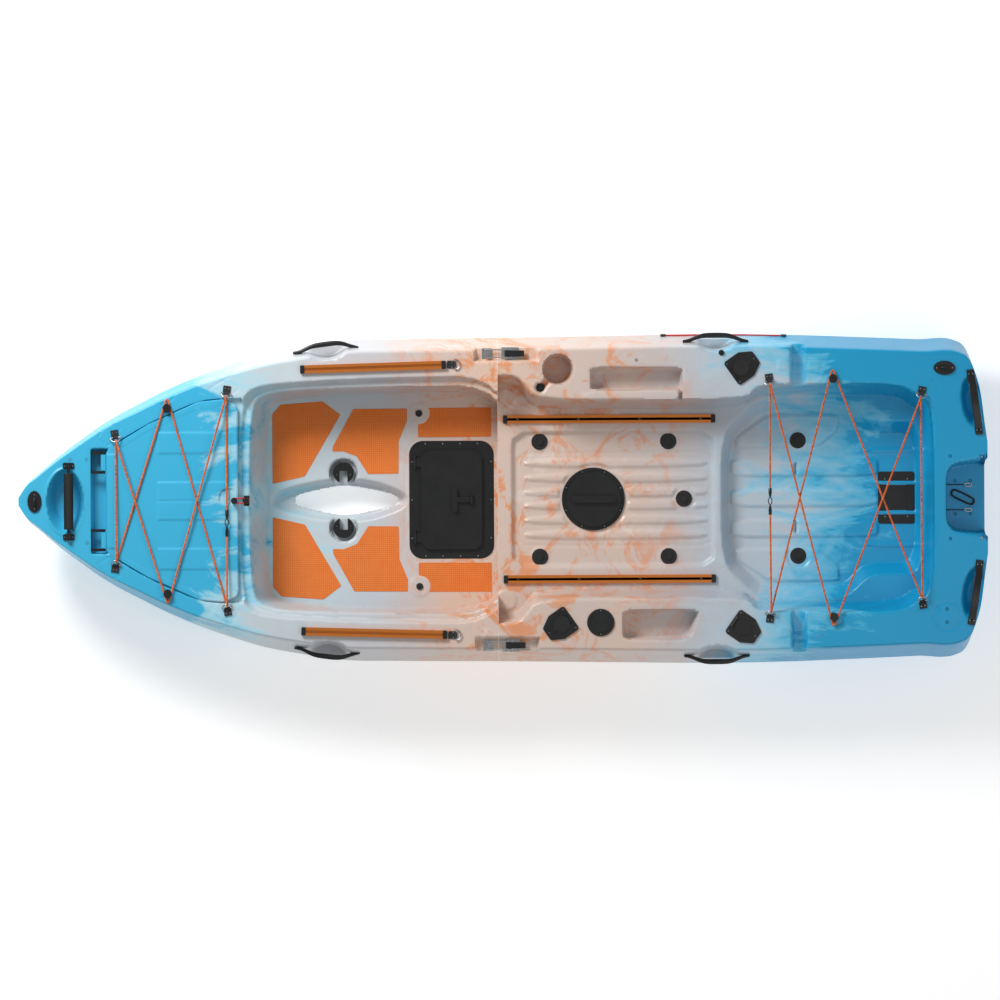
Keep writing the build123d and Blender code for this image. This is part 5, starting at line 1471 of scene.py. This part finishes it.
def build_stage():
    p = settings()
    half = p.floor_size / 2
    floor = bpy.data.meshes.new("floor")
    floor.from_pydata([(-half, -half, -MM), (half, -half, -MM), (half, half, -MM), (-half, half, -MM)], [],
                      [(0, 1, 2, 3)])
    o = bpy.data.objects.new("floor", floor)
    scene = bpy.context.scene
    scene.collection.objects.link(o)
    m, tree, bsdf = new_material("White floor")
    bsdf.inputs["Base Color"].default_value = (0.9, 0.9, 0.9, 1)
    bsdf.inputs["Roughness"].default_value = 0.9
    bsdf.inputs["Emission Color"].default_value = (1, 1, 1, 1)
    bsdf.inputs["Emission Strength"].default_value = p.floor_glow
    floor.materials.append(m)
    world = bpy.data.worlds.new("Soft studio")
    world.use_nodes = True
    world.node_tree.nodes["Background"].inputs[0].default_value = (1.0, 1.0, 1.0, 1)
    world.node_tree.nodes["Background"].inputs[1].default_value = p.room_light
    scene.world = world
    lamps = []
    for name, place, size, power in LAMPS:
        data = bpy.data.lights.new(name, "AREA")
        data.size, data.energy = size, power
        lamp = bpy.data.objects.new(name, data)
        lamp.location = place
        lamp.rotation_euler = (Vector((0, 0, 0.2)) - Vector(place)).to_track_quat("-Z", "Y").to_euler()
        scene.collection.objects.link(lamp)
        lamps.append(lamp)
    lens = bpy.data.cameras.new("camera")
    camera = bpy.data.objects.new("camera", lens)
    scene.collection.objects.link(camera)
    lens.sensor_width = 36.0
    lens.lens = lens.sensor_width * (CAMERA_HEIGHT - 0.25) / VIEW_WIDTH
    lens.clip_end = 100
    camera.location = (*VIEW_SHIFT, CAMERA_HEIGHT)
    camera.rotation_euler = (0, 0, math.radians(VIEW_ROLL))
    scene.camera = camera
    scene.view_settings.view_transform = "Standard"
    return [o, *lamps]


# ---- add-on -----------------------------------------------------------------------------
def length_property(name, about, value):
    return bpy.props.FloatProperty(name=name, description=about, default=value, min=0.0, unit="LENGTH",
                                   precision=4)


class KayakSettings(bpy.types.PropertyGroup):
    """Sizes that the looks take beyond those of the CAD frame."""
    hull_grid: length_property("Hull grid", "Spacing of the hull skin's points", 0.005)
    pad_rim: length_property("Pad rim", "Rounding along the cut edge of a foam pad", 0.0012)
    bungee_diameter: length_property("Bungee diameter", "Thickness of the deck lashings", 0.006)
    line_diameter: length_property("Line diameter", "Thickness of the rudder lines", 0.003)
    head_radius: length_property("Head radius", "Radius of a screw's head", 0.0042)
    head_height: length_property("Head height", "Height of a screw's head", 0.0022)
    recess_width: length_property("Recess width", "Width of the cross recess in a screw", 0.0011)
    tick_pitch: length_property("Tick pitch", "Spacing of the footwell ruler's ticks", 0.005)
    floor_size: length_property("Floor size", "Side of the floor that the kayak lies on", 60.0)
    room_light: bpy.props.FloatProperty(name="Room light", description="Strength of the light from all round",
                                        default=0.34, min=0.0)
    floor_glow: bpy.props.FloatProperty(name="Floor glow",
                                        description="Light that the white floor gives off itself",
                                        default=0.38, min=0.0)


def settings():
    return bpy.context.scene.kayak_looks


class BuildPiece:
    """What each piece's operator does: make it, and stop if nothing came of it."""
    bl_options = {"REGISTER", "UNDO"}

    def execute(self, context):
        made = self.make()
        if not made:
            raise RuntimeError(self.bl_label + ": nothing was built")
        return {"FINISHED"}


class KAYAK_OT_hulls(BuildPiece, bpy.types.Operator):
    """Bow and stern sections as moulded skins"""
    bl_idname = "kayak.hulls"
    bl_label = "Hull sections"

    def make(self):
        return build_hulls(settings().hull_grid / MM)


class KAYAK_OT_bow_lid(BuildPiece, bpy.types.Operator):
    """Bow hatch lid with its stepped panels and latch recess"""
    bl_idname = "kayak.bow_lid"
    bl_label = "Bow hatch lid"

    def make(self):
        return build_bow_lid()


class KAYAK_OT_deck_pads(BuildPiece, bpy.types.Operator):
    """Foam pads on the foredeck and side decks"""
    bl_idname = "kayak.deck_pads"
    bl_label = "Deck pads"

    def make(self):
        return build_deck_pads()


class KAYAK_OT_lashings(BuildPiece, bpy.types.Operator):
    """Bow and stern bungees with their hooks"""
    bl_idname = "kayak.lashings"
    bl_label = "Deck lashings"

    def make(self):
        return build_lashings()


class KAYAK_OT_hatches(BuildPiece, bpy.types.Operator):
    """Floor hatch, round hatch, deck plate and tank cover"""
    bl_idname = "kayak.hatches"
    bl_label = "Hatches"

    def make(self):
        return build_group(HATCH_NODES)


class KAYAK_OT_rails(BuildPiece, bpy.types.Operator):
    """Gear rails with their end caps and D-rings"""
    bl_idname = "kayak.rails"
    bl_label = "Gear rails"

    def make(self):
        return build_group(RAIL_NODES)


class KAYAK_OT_handles(BuildPiece, bpy.types.Operator):
    """Bow grip, side handles and stern handles"""
    bl_idname = "kayak.handles"
    bl_label = "Carry handles"

    def make(self):
        return build_handles()


class KAYAK_OT_fittings(BuildPiece, bpy.types.Operator):
    """Rod holders, latches, plugs, pad eyes and every other small fitting"""
    bl_idname = "kayak.fittings"
    bl_label = "Fittings"

    def make(self):
        return build_fittings()


class KAYAK_OT_screws(BuildPiece, bpy.types.Operator):
    """Deck screws with their cross recesses"""
    bl_idname = "kayak.screws"
    bl_label = "Deck screws"

    def make(self):
        return build_screws()


class KAYAK_OT_ruler(BuildPiece, bpy.types.Operator):
    """Ruler ticks along the footwell"""
    bl_idname = "kayak.ruler"
    bl_label = "Footwell ruler"

    def make(self):
        return build_ruler()


class KAYAK_OT_stern_cords(BuildPiece, bpy.types.Operator):
    """Rudder lines, their spare hank and the paddle keeper"""
    bl_idname = "kayak.stern_cords"
    bl_label = "Rudder lines and paddle keeper"

    def make(self):
        return build_stern_cords()


class KAYAK_OT_stage(BuildPiece, bpy.types.Operator):
    """Floor, studio light and the camera straight above"""
    bl_idname = "kayak.stage"
    bl_label = "Stage"

    def make(self):
        return build_stage()


PIECES = (KAYAK_OT_hulls, KAYAK_OT_bow_lid, KAYAK_OT_deck_pads, KAYAK_OT_lashings, KAYAK_OT_hatches,
          KAYAK_OT_rails,
          KAYAK_OT_handles, KAYAK_OT_fittings, KAYAK_OT_screws, KAYAK_OT_ruler, KAYAK_OT_stern_cords,
          KAYAK_OT_stage)


class KAYAK_PT_pieces(bpy.types.Panel):
    """Lists the kayak's sizes and a button for each piece"""
    bl_idname = "KAYAK_PT_pieces"
    bl_label = "Kayak pieces"
    bl_space_type = "VIEW_3D"
    bl_region_type = "UI"
    bl_category = "Kayak"

    def draw(self, context):
        for key in KayakSettings.__annotations__:
            self.layout.prop(settings(), key)
        for piece in PIECES:
            self.layout.operator(piece.bl_idname)


def register():
    for cls in (KayakSettings, *PIECES, KAYAK_PT_pieces):
        bpy.utils.register_class(cls)
    bpy.types.Scene.kayak_looks = bpy.props.PointerProperty(type=KayakSettings)


def unregister():
    del bpy.types.Scene.kayak_looks
    for cls in (KAYAK_PT_pieces, *reversed(PIECES), KayakSettings):
        bpy.utils.unregister_class(cls)


def main():
    register()
    for piece in PIECES:
        getattr(bpy.ops.kayak, piece.bl_idname.split(".")[1])()


if __name__ == "__main__":
    main()
